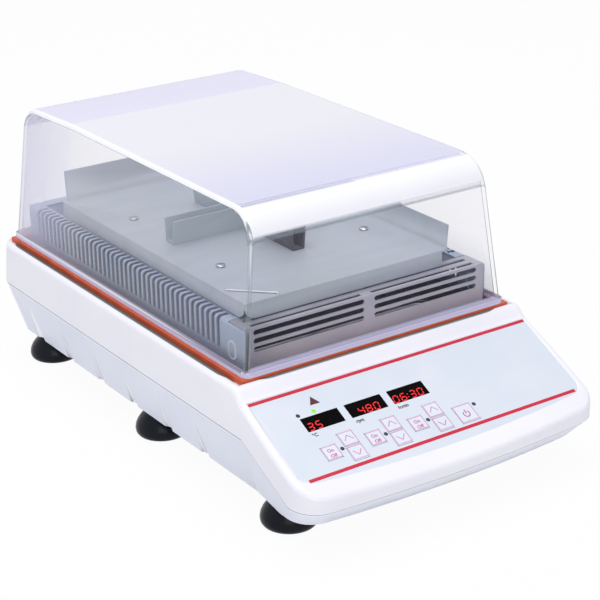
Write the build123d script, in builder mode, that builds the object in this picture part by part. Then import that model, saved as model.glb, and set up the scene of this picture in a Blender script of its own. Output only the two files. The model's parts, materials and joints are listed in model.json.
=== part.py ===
"""Incubated benchtop orbital shaker: housing, console, drive, heated chamber, tray and clear lid.

Millimetres, +Z up, origin on the bench under the middle of the overall box. -Y is the console side.
"""
from build123d import *
from math import atan, cos, radians, sin, tan
import os

os.makedirs("parts", exist_ok=True)

# ---------------------------------------------------------------- overall housing
width = 262.0
length = 468.0
half_width = width / 2
back_y = length / 2
front_y = -length / 2
front_bow = 7.0
back_corner_radius = 28.0
front_corner_radius = 21.0
housing_wall = 3.0
underside_z = 21.0

# parting line: level along the sides, then down parallel to the console
seam_z = 64.5
seam_low_z = 37.0
knee_y = front_y + 84.0
console_tilt = 26.5
seam_low_y = knee_y - (seam_z - seam_low_z) / tan(radians(console_tilt))

# lower housing, drawn in towards its underside
lower_inset_back = 12.0
lower_inset_front = 7.0
lower_front_setback = 14.5
lower_back_setback = 12.0
lower_front_radius = 20.0
lower_join_y = front_y + 48.0

# upper housing
ledge_z = 97.5
upper_side_draft = 5.0
shoulder_radius = 4.5
ledge_front_y = front_y + 95.5
panel_top_y = front_y + 86.2
panel_top_z = 87.8
shoulder_foot = 2.0
shoulder_top_round = 8.0
shoulder_foot_round = 12.0

# flutes pressed into the lower sides
flute_count = 6
flute_first_y = front_y + 151.5
flute_last_y = back_y - 57.5
flute_pitch = (flute_last_y - flute_first_y) / (flute_count - 1)
flute_radius = 8.0
flute_depth = 2.2
flute_top_z = 53.0

# ---------------------------------------------------------------- console overlay
overlay_half = half_width - 7.2
overlay_depth = 74.5
overlay_bulge = 7.0
overlay_corner = 11.0
overlay_thickness = 1.0
overlay_gap = 0.2
rim_height = 0.3
window_width = 31.0
window_depth = 12.2
window_pitch = 36.8
window_first_x = -80.1
window_v = 30.3
window_gap = 0.05
key_width = 12.2
key_depth = 11.8
key_pitch = 36.9
key_gap = 0.3
key_proud = 0.3
key_travel = 0.4
on_off_x = -89.9
on_off_v = 57.0
arrow_x = -72.2
up_v = 50.3
down_v = 63.4
power_key_size = 15.5
power_x = 23.5
power_v = 61.7
lamp_radius = 1.5
lamp_gap = 0.1
lamp_places = (
    (-95.0, 21.1),
    (-81.9, 21.2),
    (-80.9, 56.8),
    (-44.0, 56.8),
    (-7.1, 56.8),
    (34.5, 56.5),
)
hot_lamp_x = -77.3
hot_lamp_v = 13.6
hot_lamp_side = 8.0

# electronics under the console, heights measured from the overlay
board_depth = 10.0
board_thickness = 1.6
board_left = -106.0
board_right = 52.0
board_top_v = 6.0
board_bottom_v = 72.0
board_post_radius = 3.5
switch_size = 6.0
switch_gap = key_travel + 0.1
plunger_size = 5.0
plunger_end = 6.5

# ---------------------------------------------------------------- lid and gasket
gasket_half = half_width - 9.0
gasket_front_y = front_y + 98.5
gasket_back_y = back_y - 11.5
gasket_band = 8.5
gasket_thickness = 4.0
gasket_top_z = 99.0
groove_gap = 0.6
groove_wall = 0.3
groove_rib = 2.0
lid_gap = 0.3
lid_wall = 2.5
lid_bottom_half = gasket_half - 6.8
lid_top_half = lid_bottom_half - 13.6
lid_front_y = gasket_front_y + 2.0
lid_back_y = gasket_back_y - 3.0
lid_front_draft = 4.2
lid_back_draft = 2.5
lid_top_z = 214.5
lid_front_radius = 26.0
lid_back_radius = 21.0
lid_crease_y = back_y - 101.0
lid_crease_end_y = back_y - 40.0
lid_rear_drop = 2.4
lid_edge_round = 4.5
lid_rim_height = 4.0
lid_rim_proud = 1.5

# lid hinge
hinge_axis_y = back_y - 6.0
hinge_axis_z = 103.2
hinge_barrel_radius = 3.2
hinge_pin_radius = 1.6
hinge_pin_gap = 0.06
hinge_places_x = (-70.0, 70.0)
hinge_knuckle = 12.0
hinge_knuckle_gap = 0.4
hinge_leaf_thickness = 1.6
hinge_leaf_top_z = 124.0
hinge_leaf_clear = 0.5
hinge_pad_front_y = hinge_axis_y - 4.2
hinge_pad_back_y = hinge_axis_y + 3.2
hinge_pad_side = 4.0
hinge_base_thickness = 1.4
hinge_base_setback = 0.4

# ---------------------------------------------------------------- chamber
sheet = 1.0
panel_half = lid_bottom_half - 7.2
pan_half = panel_half - 0.5
pan_front_y = gasket_front_y + 14.5
pan_back_y = gasket_back_y - 16.5
pan_floor_z = 78.0
pan_flange = 5.2
opening_clear = 2.5
panel_gap = 0.2
deck_z = 129.0
deck_flange_side = 10.5
deck_flange_front = 20.5
deck_flange_back = 10.0
bend_radius = 3.0
louvre_pitch = 6.9
louvre_slot = 3.0
louvre_first_y = pan_front_y + 33.0
louvre_count = int((pan_back_y - 14.0 - louvre_first_y) / louvre_pitch) + 1
louvre_bottom_z = 106.0
louvre_reach = 8.5
side_flange_start_y = pan_front_y + 21.5
front_slot_height = 3.9
front_slot_pitch = 6.4
front_slot_rows = 3
front_slot_top_z = 125.2
front_slot_middle = 9.0
front_slot_margin = 7.0
deck_slot_rows = 2
deck_slot_pitch = 9.0
deck_slot_width = 4.0
deck_slot_setback = 5.0
boss_radius = 5.0
boss_length = 14.0
boss_proud = 0.6
boss_y = pan_front_y + 15.0
boss_z = 109.5

# ---------------------------------------------------------------- orbital drive
crank_x = 0.0
crank_y = (pan_front_y + pan_back_y) / 2 - 12.1
orbit_radius = 9.5
crank_phase = 208.5
pin_x = crank_x + orbit_radius * cos(radians(crank_phase))
pin_y = crank_y + orbit_radius * sin(radians(crank_phase))
chassis_thickness = 2.0
chassis_half = half_width - 31.0
chassis_front_y = front_y + 84.0
chassis_back_y = back_y - 39.0
leg_size = 10.0
leg_inset = 6.0
leg_front_inset = 45.0
leg_back_inset = 40.0
shaft_radius = 7.0
shaft_bottom_z = 30.0
bore_gap = 0.06
bearing_radius = 18.0
bearing_flange_radius = 34.0
bearing_flange_height = 5.0
bearing_top_z = 60.0
bearing_rib = 5.0
bearing_rib_inset = 4.0
axial_gap = 0.3
pulley_height = 12.0
drive_pulley_radius = 52.0
drive_rim = 7.0
drive_web = 5.0
drive_hub = 15.0
motor_pulley_radius = 13.0
pulley_flange = 1.6
pulley_flange_reach = 2.4
belt_gap = 0.3
belt_thickness = 1.6
crank_head_z = 101.0
crank_head_height = 10.0
crank_head_radius = 13.0
counterweight_radius = 34.0
crank_pin_radius = 5.0
motor_x = 72.0
motor_y = crank_y - 70.4
motor_radius = 26.0
motor_shaft_radius = 3.0
motor_shaft_depth = 14.0
idler_spread_x = 70.0
idler_heater_gap = 11.4
idler_pin_radius = 4.0
idler_post_radius = 9.0
idler_post_base = 15.0
idler_post_base_height = 4.0
idler_shaft_depth = 26.0
idler_arm_z = 114.0
idler_arm_height = 5.0
idler_arm_radius = 8.0
deck_hole_clear = 2.0
deck_front_rest = 4.0
deck_side_slot = 8.0
louvre_overrun = 3.0
carrier_z = 130.6
carrier_height = 5.0
carrier_bar = 24.0
carrier_bar_length = 200.0
carrier_boss = 18.0
carrier_post_radius = 6.0
pin_end_clear = 0.6

# ---------------------------------------------------------------- tray
tray_width = 2 * pan_half - 34.2
tray_length = pan_back_y - pan_front_y - 56.4
tray_floor_z = 142.4
tray_sheet = 1.2
tray_skirt = 12.2
tray_corner_round = 42.0
tray_skirt_round = 9.0
tray_skirt_end = 6.0
side_lip_height = 18.2
side_lip_rise = 2.6
side_lip_step_y = 58.0
side_lip_step = 4.0
lip_lean_out = 2.2
lip_band = 2.0
side_lip_front_inset = 2.0
back_lip_height = 24.6
back_lip_start_x = 46.0
back_lip_left_inset = 4.0
tray_screw_x = 65.0
tray_screw_y = 63.7
tray_hole_radius = 1.6
tray_screw_radius = 1.5
tray_screw_head = 3.5
tray_screw_head_height = 1.6
tray_screw_length = 5.0
corner_rod_inset = 30.0
corner_rod_radius = 0.8
corner_rod_hole = 1.2
corner_rod_end = 1.5
corner_rod_bend = 1.2
corner_rod_tail = 2.0
divider_half = 70.0
divider_height = 19.0
divider_bottom = 10.0
divider_top = 14.0
divider_sheet = 1.3
divider_screw_head = 2.2
divider_screw_inset = 8.0

# ---------------------------------------------------------------- feet
foot_x = half_width - 27.3
foot_places_y = (front_y + 67.0, 6.0, back_y - 49.5)
foot_radius = 20.5
foot_neck = 12.5
foot_lip = 1.4
foot_bead = 3.0
foot_bead_proud = 0.8
foot_hollow = 3.5
foot_neck_z = 15.0
foot_stud_radius = 3.0
foot_stud_gap = 0.1
foot_nut_width = 10.0
foot_nut_height = 4.0
foot_stud_drop = 9.0

# ---------------------------------------------------------------- rear connections
inlet_x = -60.0
inlet_z = 43.0
pocket_width = 62.0
pocket_height = 36.0
pocket_floor_y = back_y - 21.0
inlet_width = 27.0
inlet_height = 27.8
inlet_depth = 18.0
inlet_flange = 6.0
inlet_flange_thickness = 2.0
inlet_gap = 0.1
socket_width = 24.0
socket_height = 15.0
socket_rise = 4.6
socket_depth = 16.0
pin_width = 2.0
pin_height = 5.0
pin_spread = 7.2
side_pin_drop = 2.0
middle_pin_rise = 2.0
inlet_collar = 0.5
pin_length = 13.0
drawer_width = 20.0
drawer_height = 5.6
drawer_drop = 9.0
drawer_depth = 14.0
drawer_gap = 0.3
drawer_face = 1.6
drawer_face_grow = 1.4
vent_count = 8
vent_pitch = 7.0
vent_first_x = 44.0
vent_width = 3.0
vent_height = 22.0
board_rear_x = 50.0
board_rear_y = back_y - 84.0
board_rear_width = 72.0
board_rear_length = 78.0
board_standoff = 5.0
board_edge = 9.0
standoff_radius = 3.0
standoff_inset = 5.0
transformer_width = 32.0
transformer_length = 40.0
transformer_height = 26.0
heatsink_width = 16.0
heatsink_length = 46.0
heatsink_height = 14.0
capacitor_radius = 8.0
capacitor_height = 22.0

# screws that join the two housings
joint_post_radius = 4.0
joint_screw_radius = 1.5
joint_screw_gap = 0.08
joint_screw_length = 14.0
joint_screw_head = 3.2
joint_screw_head_height = 2.0
joint_back_x = half_width - 31.0
joint_back_y = back_y - 21.2
joint_front_x = half_width - 17.0
joint_front_y = front_y + 44.0

# heating and air, inside the chamber pan
heater_front_y = pan_front_y + 13.0
heater_back_y = heater_front_y + 24.0
heater_half = pan_half - 29.5
heater_z = 92.0
heater_radius = 3.0
heater_bend = 10.0
heater_clip = 8.0
# the front idler posts stand just behind the heater, the rear ones as far behind the crank
idler_front_y = heater_back_y + heater_radius + idler_heater_gap + idler_post_base
idler_spread_y = crank_y - idler_front_y
fan_x = 0.0
fan_y = pan_back_y - 48.0
fan_motor_radius = 16.0
fan_motor_top_z = 94.0
fan_radius = 34.0
fan_height = 12.0
fan_plate = 2.0
fan_hub = 9.0
fan_shaft_radius = 2.0
fan_shaft_depth = 7.0
fan_blades = 8
fan_blade_length = 15.0
fan_blade_thickness = 1.6
fan_blade_angle = 35.0
probe_x = 21.5 - pan_half
probe_y = pan_back_y - 28.0
probe_base_radius = 5.0
probe_base_height = 6.0
probe_radius = 2.5
probe_height = 38.0

# ---------------------------------------------------------------- derived values
tilt = radians(console_tilt)
chassis_top_z = underside_z + housing_wall + chassis_thickness
pulley_bottom_z = bearing_top_z + axial_gap
pulley_top_z = pulley_bottom_z + pulley_height
pan_top_z = ledge_z + sheet
lid_bottom_z = gasket_top_z + lid_gap
pin_top_z = carrier_z + carrier_height - pin_end_clear
tray_under_z = tray_floor_z - tray_sheet
tray_left_x = pin_x - tray_width / 2
tray_right_x = pin_x + tray_width / 2
tray_front_y = pin_y - tray_length / 2
tray_back_y = pin_y + tray_length / 2
idler_places = [
    (crank_x + sx * idler_spread_x, crank_y + sy * idler_spread_y) for sx in (-1, 1) for sy in (-1, 1)
]
foot_places = [(side * foot_x, y) for side in (-1, 1) for y in foot_places_y]
joint_places = [(side * joint_back_x, joint_back_y) for side in (-1, 1)]
joint_places += [(side * joint_front_x, joint_front_y) for side in (-1, 1)]
tray_screw_places = [
    (pin_x + sx * tray_screw_x, pin_y + sy * tray_screw_y) for sx in (-1, 1) for sy in (-1, 1)
]

panel_plane = Plane(origin=(0, panel_top_y, panel_top_z), x_dir=(1, 0, 0), z_dir=(0, -sin(tilt), cos(tilt)))


def on_panel(height=0.0):
    """The console plane, raised by height from the top of the overlay."""
    return panel_plane.offset(height)


def across(y):
    """A plane square to Y, with local x along X and local y along Z."""
    return Plane(origin=(0, y, 0), x_dir=(1, 0, 0), z_dir=(0, -1, 0))


def lengthwise(x=0.0):
    """A plane square to X, with local x along Y and local y along Z."""
    return Plane(origin=(x, 0, 0), x_dir=(0, 1, 0), z_dir=(1, 0, 0))


def level(z):
    """A plane at height z."""
    return Plane.XY.offset(z)


def block(x0, x1, y0, y1, z0, z1, mode=Mode.ADD):
    """A box between two opposite corners."""
    with Locations(((x0 + x1) / 2, (y0 + y1) / 2, (z0 + z1) / 2)):
        Box(x1 - x0, y1 - y0, z1 - z0, mode=mode)


def drum(x, y, z0, z1, radius, mode=Mode.ADD):
    """An upright cylinder between two heights."""
    with Locations((x, y, (z0 + z1) / 2)):
        Cylinder(radius, z1 - z0, mode=mode)


def save(builder, name):
    builder.part.label = name
    export_step(builder.part, f"parts/{name}.step")


# ================================================================= housing shells
def rear_outline(z, inset, setback):
    """Outline from the knee of the parting line to the rounded back corners."""
    half = half_width - inset
    back = back_y - setback
    with BuildSketch(level(z)) as outline:
        with BuildLine():
            Polyline((-half, knee_y), (-half, back), (half, back), (half, knee_y), close=True)
        make_face()
        fillet(outline.vertices().group_by(Axis.Y)[-1], back_corner_radius - inset / 2)
    return outline.sketch


def front_outline(z, inset, setback, join_y, radius):
    """Outline ahead of the sloping part of the seam, with the bowed front."""
    half = half_width - inset
    front = front_y + setback
    with BuildSketch(level(z)) as outline:
        with BuildLine():
            Polyline((-half, front + front_bow), (-half, join_y), (half, join_y), (half, front + front_bow))
            ThreePointArc((half, front + front_bow), (0, front), (-half, front + front_bow))
        make_face()
        fillet(outline.vertices().group_by(Axis.Y)[0], radius)
    return outline.sketch


def side_section(low_y, high_y, low_z, high_z, low_inset, high_inset):
    """Section of the lower housing on an upright or leaning plane through two heights."""
    lean = Vector(0, high_y - low_y, high_z - low_z)
    plane = Plane(origin=(0, low_y, low_z), x_dir=(1, 0, 0), z_dir=Vector(1, 0, 0).cross(lean))
    with BuildSketch(plane) as section:
        with BuildLine():
            Polyline(
                (-(half_width - low_inset), 0),
                (half_width - low_inset, 0),
                (half_width - high_inset, lean.length),
                (-(half_width - high_inset), lean.length),
                close=True,
            )
        make_face()
    return section.sketch


def lower_envelope(skin, low_z):
    """Solid of the lower housing, offset inwards by skin, from low_z to the seam."""
    back_in = lower_inset_back + skin
    front_in = lower_inset_front + skin
    front_set = lower_front_setback + skin
    back_set = lower_back_setback + skin
    loft([rear_outline(low_z, back_in, back_set), rear_outline(seam_z, skin, skin)], ruled=True)
    loft(
        [
            side_section(knee_y, knee_y, low_z, seam_z, back_in, skin),
            side_section(lower_join_y, seam_low_y, low_z, seam_low_z, front_in, skin),
        ],
        ruled=True,
    )
    loft(
        [
            front_outline(low_z, front_in, front_set, lower_join_y, lower_front_radius - skin),
            front_outline(seam_low_z, skin, skin, seam_low_y, front_corner_radius - skin),
        ],
        ruled=True,
    )


def flute_plane(side, y):
    """Plane at the top of a flute, with its normal running down along the flute."""
    drop = seam_z - underside_z
    slope = atan(lower_inset_back / drop)
    reach = flute_radius - flute_depth
    skin_x = half_width - lower_inset_back * (seam_z - flute_top_z) / drop
    top = Vector(side * (skin_x + flute_radius * cos(slope)), y, flute_top_z - flute_radius * sin(slope))
    foot_x_low = half_width - lower_inset_back + reach * cos(slope)
    low = Vector(side * foot_x_low, y, underside_z - reach * sin(slope))
    return Plane(origin=top, x_dir=(0, 1, 0), z_dir=low - top)


with BuildPart() as lower_cavity:
    lower_envelope(housing_wall, underside_z + housing_wall)

with BuildPart() as lower_housing:
    lower_envelope(0.0, underside_z)
    add(lower_cavity.part, mode=Mode.SUBTRACT)
    for flute_side in (-1, 1):
        for flute_index in range(flute_count):
            with BuildSketch(flute_plane(flute_side, flute_last_y - flute_index * flute_pitch)):
                Circle(flute_radius)
            extrude(amount=flute_top_z, mode=Mode.SUBTRACT)
    # recessed pocket for the mains inlet
    pocket_half = pocket_width / 2
    pocket_low = inlet_z - pocket_height / 2
    pocket_high = inlet_z + pocket_height / 2
    pocket_rim_y = back_y - lower_back_setback
    block(
        inlet_x - pocket_half - housing_wall,
        inlet_x + pocket_half + housing_wall,
        pocket_floor_y - housing_wall,
        pocket_rim_y - 1,
        pocket_low,
        pocket_high,
    )
    block(
        inlet_x - pocket_half,
        inlet_x + pocket_half,
        pocket_floor_y,
        back_y + 1,
        pocket_low + housing_wall,
        pocket_high - housing_wall,
        mode=Mode.SUBTRACT,
    )
    with Locations((inlet_x, pocket_floor_y, inlet_z)):
        Box(inlet_width, 4 * housing_wall, inlet_height, mode=Mode.SUBTRACT)
    # cooling slots in the back wall
    for vent in range(vent_count):
        with Locations((vent_first_x + vent * vent_pitch, back_y - lower_back_setback / 2, inlet_z)):
            Box(vent_width, 6 * housing_wall, vent_height, mode=Mode.SUBTRACT)
    # holes for the foot studs and the joining screws
    through_z = underside_z + 2 * housing_wall
    for hole_x, hole_y in foot_places:
        drum(hole_x, hole_y, underside_z - 1, through_z, foot_stud_radius + foot_stud_gap, Mode.SUBTRACT)
    for hole_x, hole_y in joint_places:
        drum(hole_x, hole_y, underside_z - 1, through_z, joint_screw_radius + joint_screw_gap, Mode.SUBTRACT)
save(lower_housing, "lower_housing")


def upper_profile(skin):
    """Side view of the upper housing: ledge, shoulder, sloping console and front edge."""
    foot_y = panel_top_y + shoulder_foot * cos(tilt) - rim_height * sin(tilt)
    foot_z = panel_top_z + shoulder_foot * sin(tilt) + rim_height * cos(tilt)
    front_z = foot_z - (foot_y - front_y) * tan(tilt)
    with BuildSketch(lengthwise()) as profile:
        with BuildLine():
            Polyline(
                (back_y, 0),
                (back_y, ledge_z),
                (ledge_front_y, ledge_z),
                (foot_y, foot_z),
                (front_y, front_z),
                (front_y, 0),
                close=True,
            )
        make_face()
        if skin > 0:
            offset(amount=-skin, kind=Kind.INTERSECTION)
        else:
            ordered = profile.vertices().filter_by_position(Axis.X, foot_y - 1, ledge_front_y + 1)
            fillet(ordered.sort_by(Axis.X)[0], shoulder_foot_round)
            fillet(profile.vertices().sort_by_distance((ledge_front_y, ledge_z, 0))[0], shoulder_top_round)
    return profile.sketch


def plan_outline(z, skin):
    """Full plan outline at the seam."""
    half = half_width - skin
    front = front_y + skin
    with BuildSketch(level(z)) as outline:
        with BuildLine():
            Polyline(
                (half, front + front_bow),
                (half, back_y - skin),
                (-half, back_y - skin),
                (-half, front + front_bow),
            )
            ThreePointArc((-half, front + front_bow), (0, front), (half, front + front_bow))
        make_face()
        fillet(outline.vertices().group_by(Axis.Y)[-1], back_corner_radius - skin)
        fillet(outline.vertices().group_by(Axis.Y)[0], front_corner_radius - skin)
    return outline.sketch


def upper_envelope(skin, low_z):
    extrude(plan_outline(low_z, skin), amount=seam_z - low_z)
    extrude(plan_outline(seam_z, skin), amount=ledge_z + 5 - seam_z, taper=upper_side_draft)
    extrude(upper_profile(skin), amount=width, both=True, mode=Mode.INTERSECT)


def above_seam():
    """Region above the parting line, as seen from the side."""
    with BuildSketch(lengthwise()) as region:
        with BuildLine():
            Polyline(
                (length, seam_z),
                (knee_y, seam_z),
                (seam_low_y, seam_low_z),
                (-length, seam_low_z),
                (-length, length),
                (length, length),
                close=True,
            )
        make_face()
    return region.sketch


def overlay_outline(plane, grow):
    """Outline of the console overlay: straight top and sides, bulging bottom."""
    half = overlay_half + grow
    low = -overlay_depth - grow
    with BuildSketch(plane) as outline:
        with BuildLine():
            Polyline((-half, low), (-half, grow), (half, grow), (half, low))
            ThreePointArc((half, low), (0, low - overlay_bulge), (-half, low))
        make_face()
        fillet(outline.vertices().group_by(Axis.Y)[0], overlay_corner + grow)
    return outline.sketch


def key_list():
    """Name, x, v, width and depth of each key on the console."""
    keys = []
    for index, group in enumerate(("temperature", "speed", "timer")):
        keys.append((f"key_{group}_on_off", on_off_x + index * key_pitch, on_off_v, key_width, key_depth))
        keys.append((f"key_{group}_up", arrow_x + index * key_pitch, up_v, key_width, key_depth))
        keys.append((f"key_{group}_down", arrow_x + index * key_pitch, down_v, key_width, key_depth))
    keys.append(("key_power", power_x, power_v, power_key_size, power_key_size))
    return keys


def console_cut(plane, amount, key_clear, window_clear, lamp_clear):
    """Cut the openings for keys, windows and lamps, by amount along the plane's normal."""
    with BuildSketch(plane) as holes:
        for _, key_x, key_v, key_w, key_d in key_list():
            with Locations((key_x, -key_v)):
                Rectangle(key_w + 2 * key_clear, key_d + 2 * key_clear)
        with Locations(*[(window_first_x + i * window_pitch, -window_v) for i in range(3)]):
            Rectangle(window_width + 2 * window_clear, window_depth + 2 * window_clear)
        with Locations(*[(lamp_x, -lamp_v) for lamp_x, lamp_v in lamp_places]):
            Circle(lamp_radius + lamp_clear)
        with Locations((hot_lamp_x, -hot_lamp_v)):
            RegularPolygon(hot_lamp_side / 3**0.5 + 2 * lamp_clear, 3, rotation=90)
    extrude(holes.sketch, amount=amount, mode=Mode.SUBTRACT)


board_post_places = [
    (board_left + board_post_radius, board_top_v + board_post_radius),
    (board_left + board_post_radius, board_bottom_v - board_post_radius),
    (board_right - board_post_radius, board_top_v + board_post_radius),
    (board_right - board_post_radius, board_bottom_v - board_post_radius),
]

with BuildPart() as upper_cavity:
    upper_envelope(housing_wall, seam_low_z - 10)
    # columns left standing round the joining screws
    for post_x, post_y in joint_places:
        drum(post_x, post_y, underside_z, ledge_z, joint_post_radius, Mode.SUBTRACT)

opening_half = pan_half + opening_clear
groove_floor_z = gasket_top_z - gasket_thickness

with BuildPart() as upper_housing:
    upper_envelope(0.0, seam_low_z - 1)
    # one rounding runs on from the ledge down the shoulders and round the front edge
    top_edges = upper_housing.edges().filter_by_position(Axis.Z, ledge_z - 0.1, ledge_z + 0.1)
    fillet(top_edges.filter_by(lambda e: e.center().Y > 0), shoulder_radius)
    extrude(above_seam(), amount=width, both=True, mode=Mode.INTERSECT)
    # pads under the hinges
    for hinge_x in hinge_places_x:
        pad = 1.5 * hinge_knuckle + hinge_pad_side
        block(hinge_x - pad, hinge_x + pad, hinge_pad_front_y, hinge_pad_back_y, seam_z + 10, ledge_z)
    add(upper_cavity.part, mode=Mode.SUBTRACT)
    for post_x, post_y in joint_places:
        fall = max(0.0, knee_y - post_y - joint_post_radius) * tan(tilt)
        drum(post_x, post_y, underside_z + housing_wall, seam_z - fall + 1, joint_post_radius)
    post_low = underside_z + housing_wall
    screw_hole_radius = joint_screw_radius + joint_screw_gap
    for post_x, post_y in joint_places:
        drum(post_x, post_y, post_low, post_low + joint_screw_length, screw_hole_radius, Mode.SUBTRACT)
    # pocket for the overlay and posts for the board under it
    extrude(overlay_outline(on_panel(-overlay_thickness), overlay_gap), amount=4, mode=Mode.SUBTRACT)
    with BuildSketch(on_panel(-board_depth)) as posts:
        with Locations(*[(post_x, -post_v) for post_x, post_v in board_post_places]):
            Circle(board_post_radius)
    extrude(posts.sketch, amount=board_depth - 2 * overlay_thickness)
    console_cut(on_panel(-overlay_thickness), -3 * housing_wall, key_gap, window_gap, lamp_gap)
    # chamber opening
    block(
        -opening_half,
        opening_half,
        pan_front_y - opening_clear,
        pan_back_y + opening_clear,
        ledge_z - 4 * housing_wall,
        ledge_z + 1,
        mode=Mode.SUBTRACT,
    )
    # gasket groove, carried on a rib under the ledge
    with BuildSketch(level(groove_floor_z - groove_rib)) as rib:
        with Locations((0, (gasket_front_y + gasket_back_y) / 2)):
            Rectangle(2 * gasket_half, gasket_back_y - gasket_front_y)
        with Locations((0, (pan_front_y + pan_back_y) / 2)):
            Rectangle(2 * opening_half, pan_back_y - pan_front_y + 2 * opening_clear, mode=Mode.SUBTRACT)
    extrude(rib.sketch, amount=groove_rib)
    with BuildSketch(level(groove_floor_z)) as groove:
        with Locations((0, (gasket_front_y + gasket_back_y) / 2)):
            Rectangle(2 * (gasket_half + groove_gap), gasket_back_y - gasket_front_y + 2 * groove_gap)
            Rectangle(
                2 * (gasket_half - gasket_band - groove_wall),
                gasket_back_y - gasket_front_y - 2 * (gasket_band + groove_wall),
                mode=Mode.SUBTRACT,
            )
    extrude(groove.sketch, amount=2 * gasket_thickness, mode=Mode.SUBTRACT)
save(upper_housing, "upper_housing")

# ================================================================= console
with BuildPart() as control_overlay:
    extrude(overlay_outline(on_panel(-overlay_thickness), 0.0), amount=overlay_thickness)
    console_cut(on_panel(-overlay_thickness), overlay_thickness, key_gap, window_gap, lamp_gap)
save(control_overlay, "control_overlay")

with BuildPart() as display_windows:
    with BuildSketch(on_panel(-overlay_thickness)):
        with Locations(*[(window_first_x + i * window_pitch, -window_v) for i in range(3)]):
            Rectangle(window_width, window_depth)
    extrude(amount=overlay_thickness)
save(display_windows, "display_windows")

with BuildPart() as led_displays:
    with BuildSketch(on_panel(-board_depth)):
        with Locations(*[(window_first_x + i * window_pitch, -window_v) for i in range(3)]):
            Rectangle(window_width - 2 * window_gap, window_depth - 2 * window_gap)
    extrude(amount=board_depth - overlay_thickness)
save(led_displays, "led_displays")

with BuildPart() as indicator_lamps:
    with BuildSketch(on_panel(-board_depth)):
        with Locations(*[(lamp_x, -lamp_v) for lamp_x, lamp_v in lamp_places]):
            Circle(lamp_radius)
        with Locations((hot_lamp_x, -hot_lamp_v)):
            RegularPolygon(hot_lamp_side / 3**0.5, 3, rotation=90)
    extrude(amount=board_depth)
save(indicator_lamps, "indicator_lamps")

with BuildPart() as control_board:
    board_middle = ((board_left + board_right) / 2, -(board_top_v + board_bottom_v) / 2)
    with BuildSketch(on_panel(-board_depth - board_thickness)):
        with Locations(board_middle):
            Rectangle(board_right - board_left, board_bottom_v - board_top_v)
    extrude(amount=board_thickness)
    with BuildSketch(on_panel(-board_depth)):
        with Locations(*[(key_x, -key_v) for _, key_x, key_v, _, _ in key_list()]):
            Rectangle(switch_size, switch_size)
    extrude(amount=board_depth - plunger_end - switch_gap)
save(control_board, "control_board")

for key_name, key_x, key_v, key_w, key_d in key_list():
    with BuildPart() as key:
        with BuildSketch(on_panel(-2 * overlay_thickness)) as cap:
            with Locations((key_x, -key_v)):
                RectangleRounded(key_w, key_d, overlay_thickness)
        extrude(cap.sketch, amount=2 * overlay_thickness + key_proud)
        with BuildSketch(on_panel(-plunger_end)) as plunger:
            with Locations((key_x, -key_v)):
                Rectangle(plunger_size, plunger_size)
        extrude(plunger.sketch, amount=plunger_end - 2 * overlay_thickness)
    save(key, key_name)

# ================================================================= base, motor and crank
with BuildPart() as base_chassis:
    chassis_low_z = underside_z + housing_wall
    block(-chassis_half, chassis_half, chassis_front_y, chassis_back_y, chassis_low_z, chassis_top_z)
    # cut back round the nuts of the feet
    for cut_x, cut_y in foot_places:
        drum(cut_x, cut_y, chassis_low_z - 1, chassis_top_z + 1, foot_nut_width, Mode.SUBTRACT)
    # four legs that carry the chamber pan
    leg = leg_size / 2
    for leg_x in (leg_inset - chassis_half, chassis_half - leg_inset):
        for leg_y in (chassis_front_y + leg_front_inset, chassis_back_y - leg_back_inset):
            block(leg_x - leg, leg_x + leg, leg_y - leg, leg_y + leg, chassis_top_z, pan_floor_z)
save(base_chassis, "base_chassis")

with BuildPart() as bearing_housing:
    drum(crank_x, crank_y, chassis_top_z, chassis_top_z + bearing_flange_height, bearing_flange_radius)
    drum(crank_x, crank_y, chassis_top_z, bearing_top_z, bearing_radius)
    for rib_angle in (45, 135):
        with BuildSketch(level(chassis_top_z)) as rib_plan:
            with Locations((crank_x, crank_y)):
                Rectangle(2 * (bearing_flange_radius - bearing_rib_inset), bearing_rib, rotation=rib_angle)
        extrude(rib_plan.sketch, amount=(bearing_top_z - chassis_top_z) / 2)
    bore_radius = shaft_radius + bore_gap
    drum(crank_x, crank_y, shaft_bottom_z - axial_gap, bearing_top_z + 1, bore_radius, Mode.SUBTRACT)
save(bearing_housing, "bearing_housing")

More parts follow.
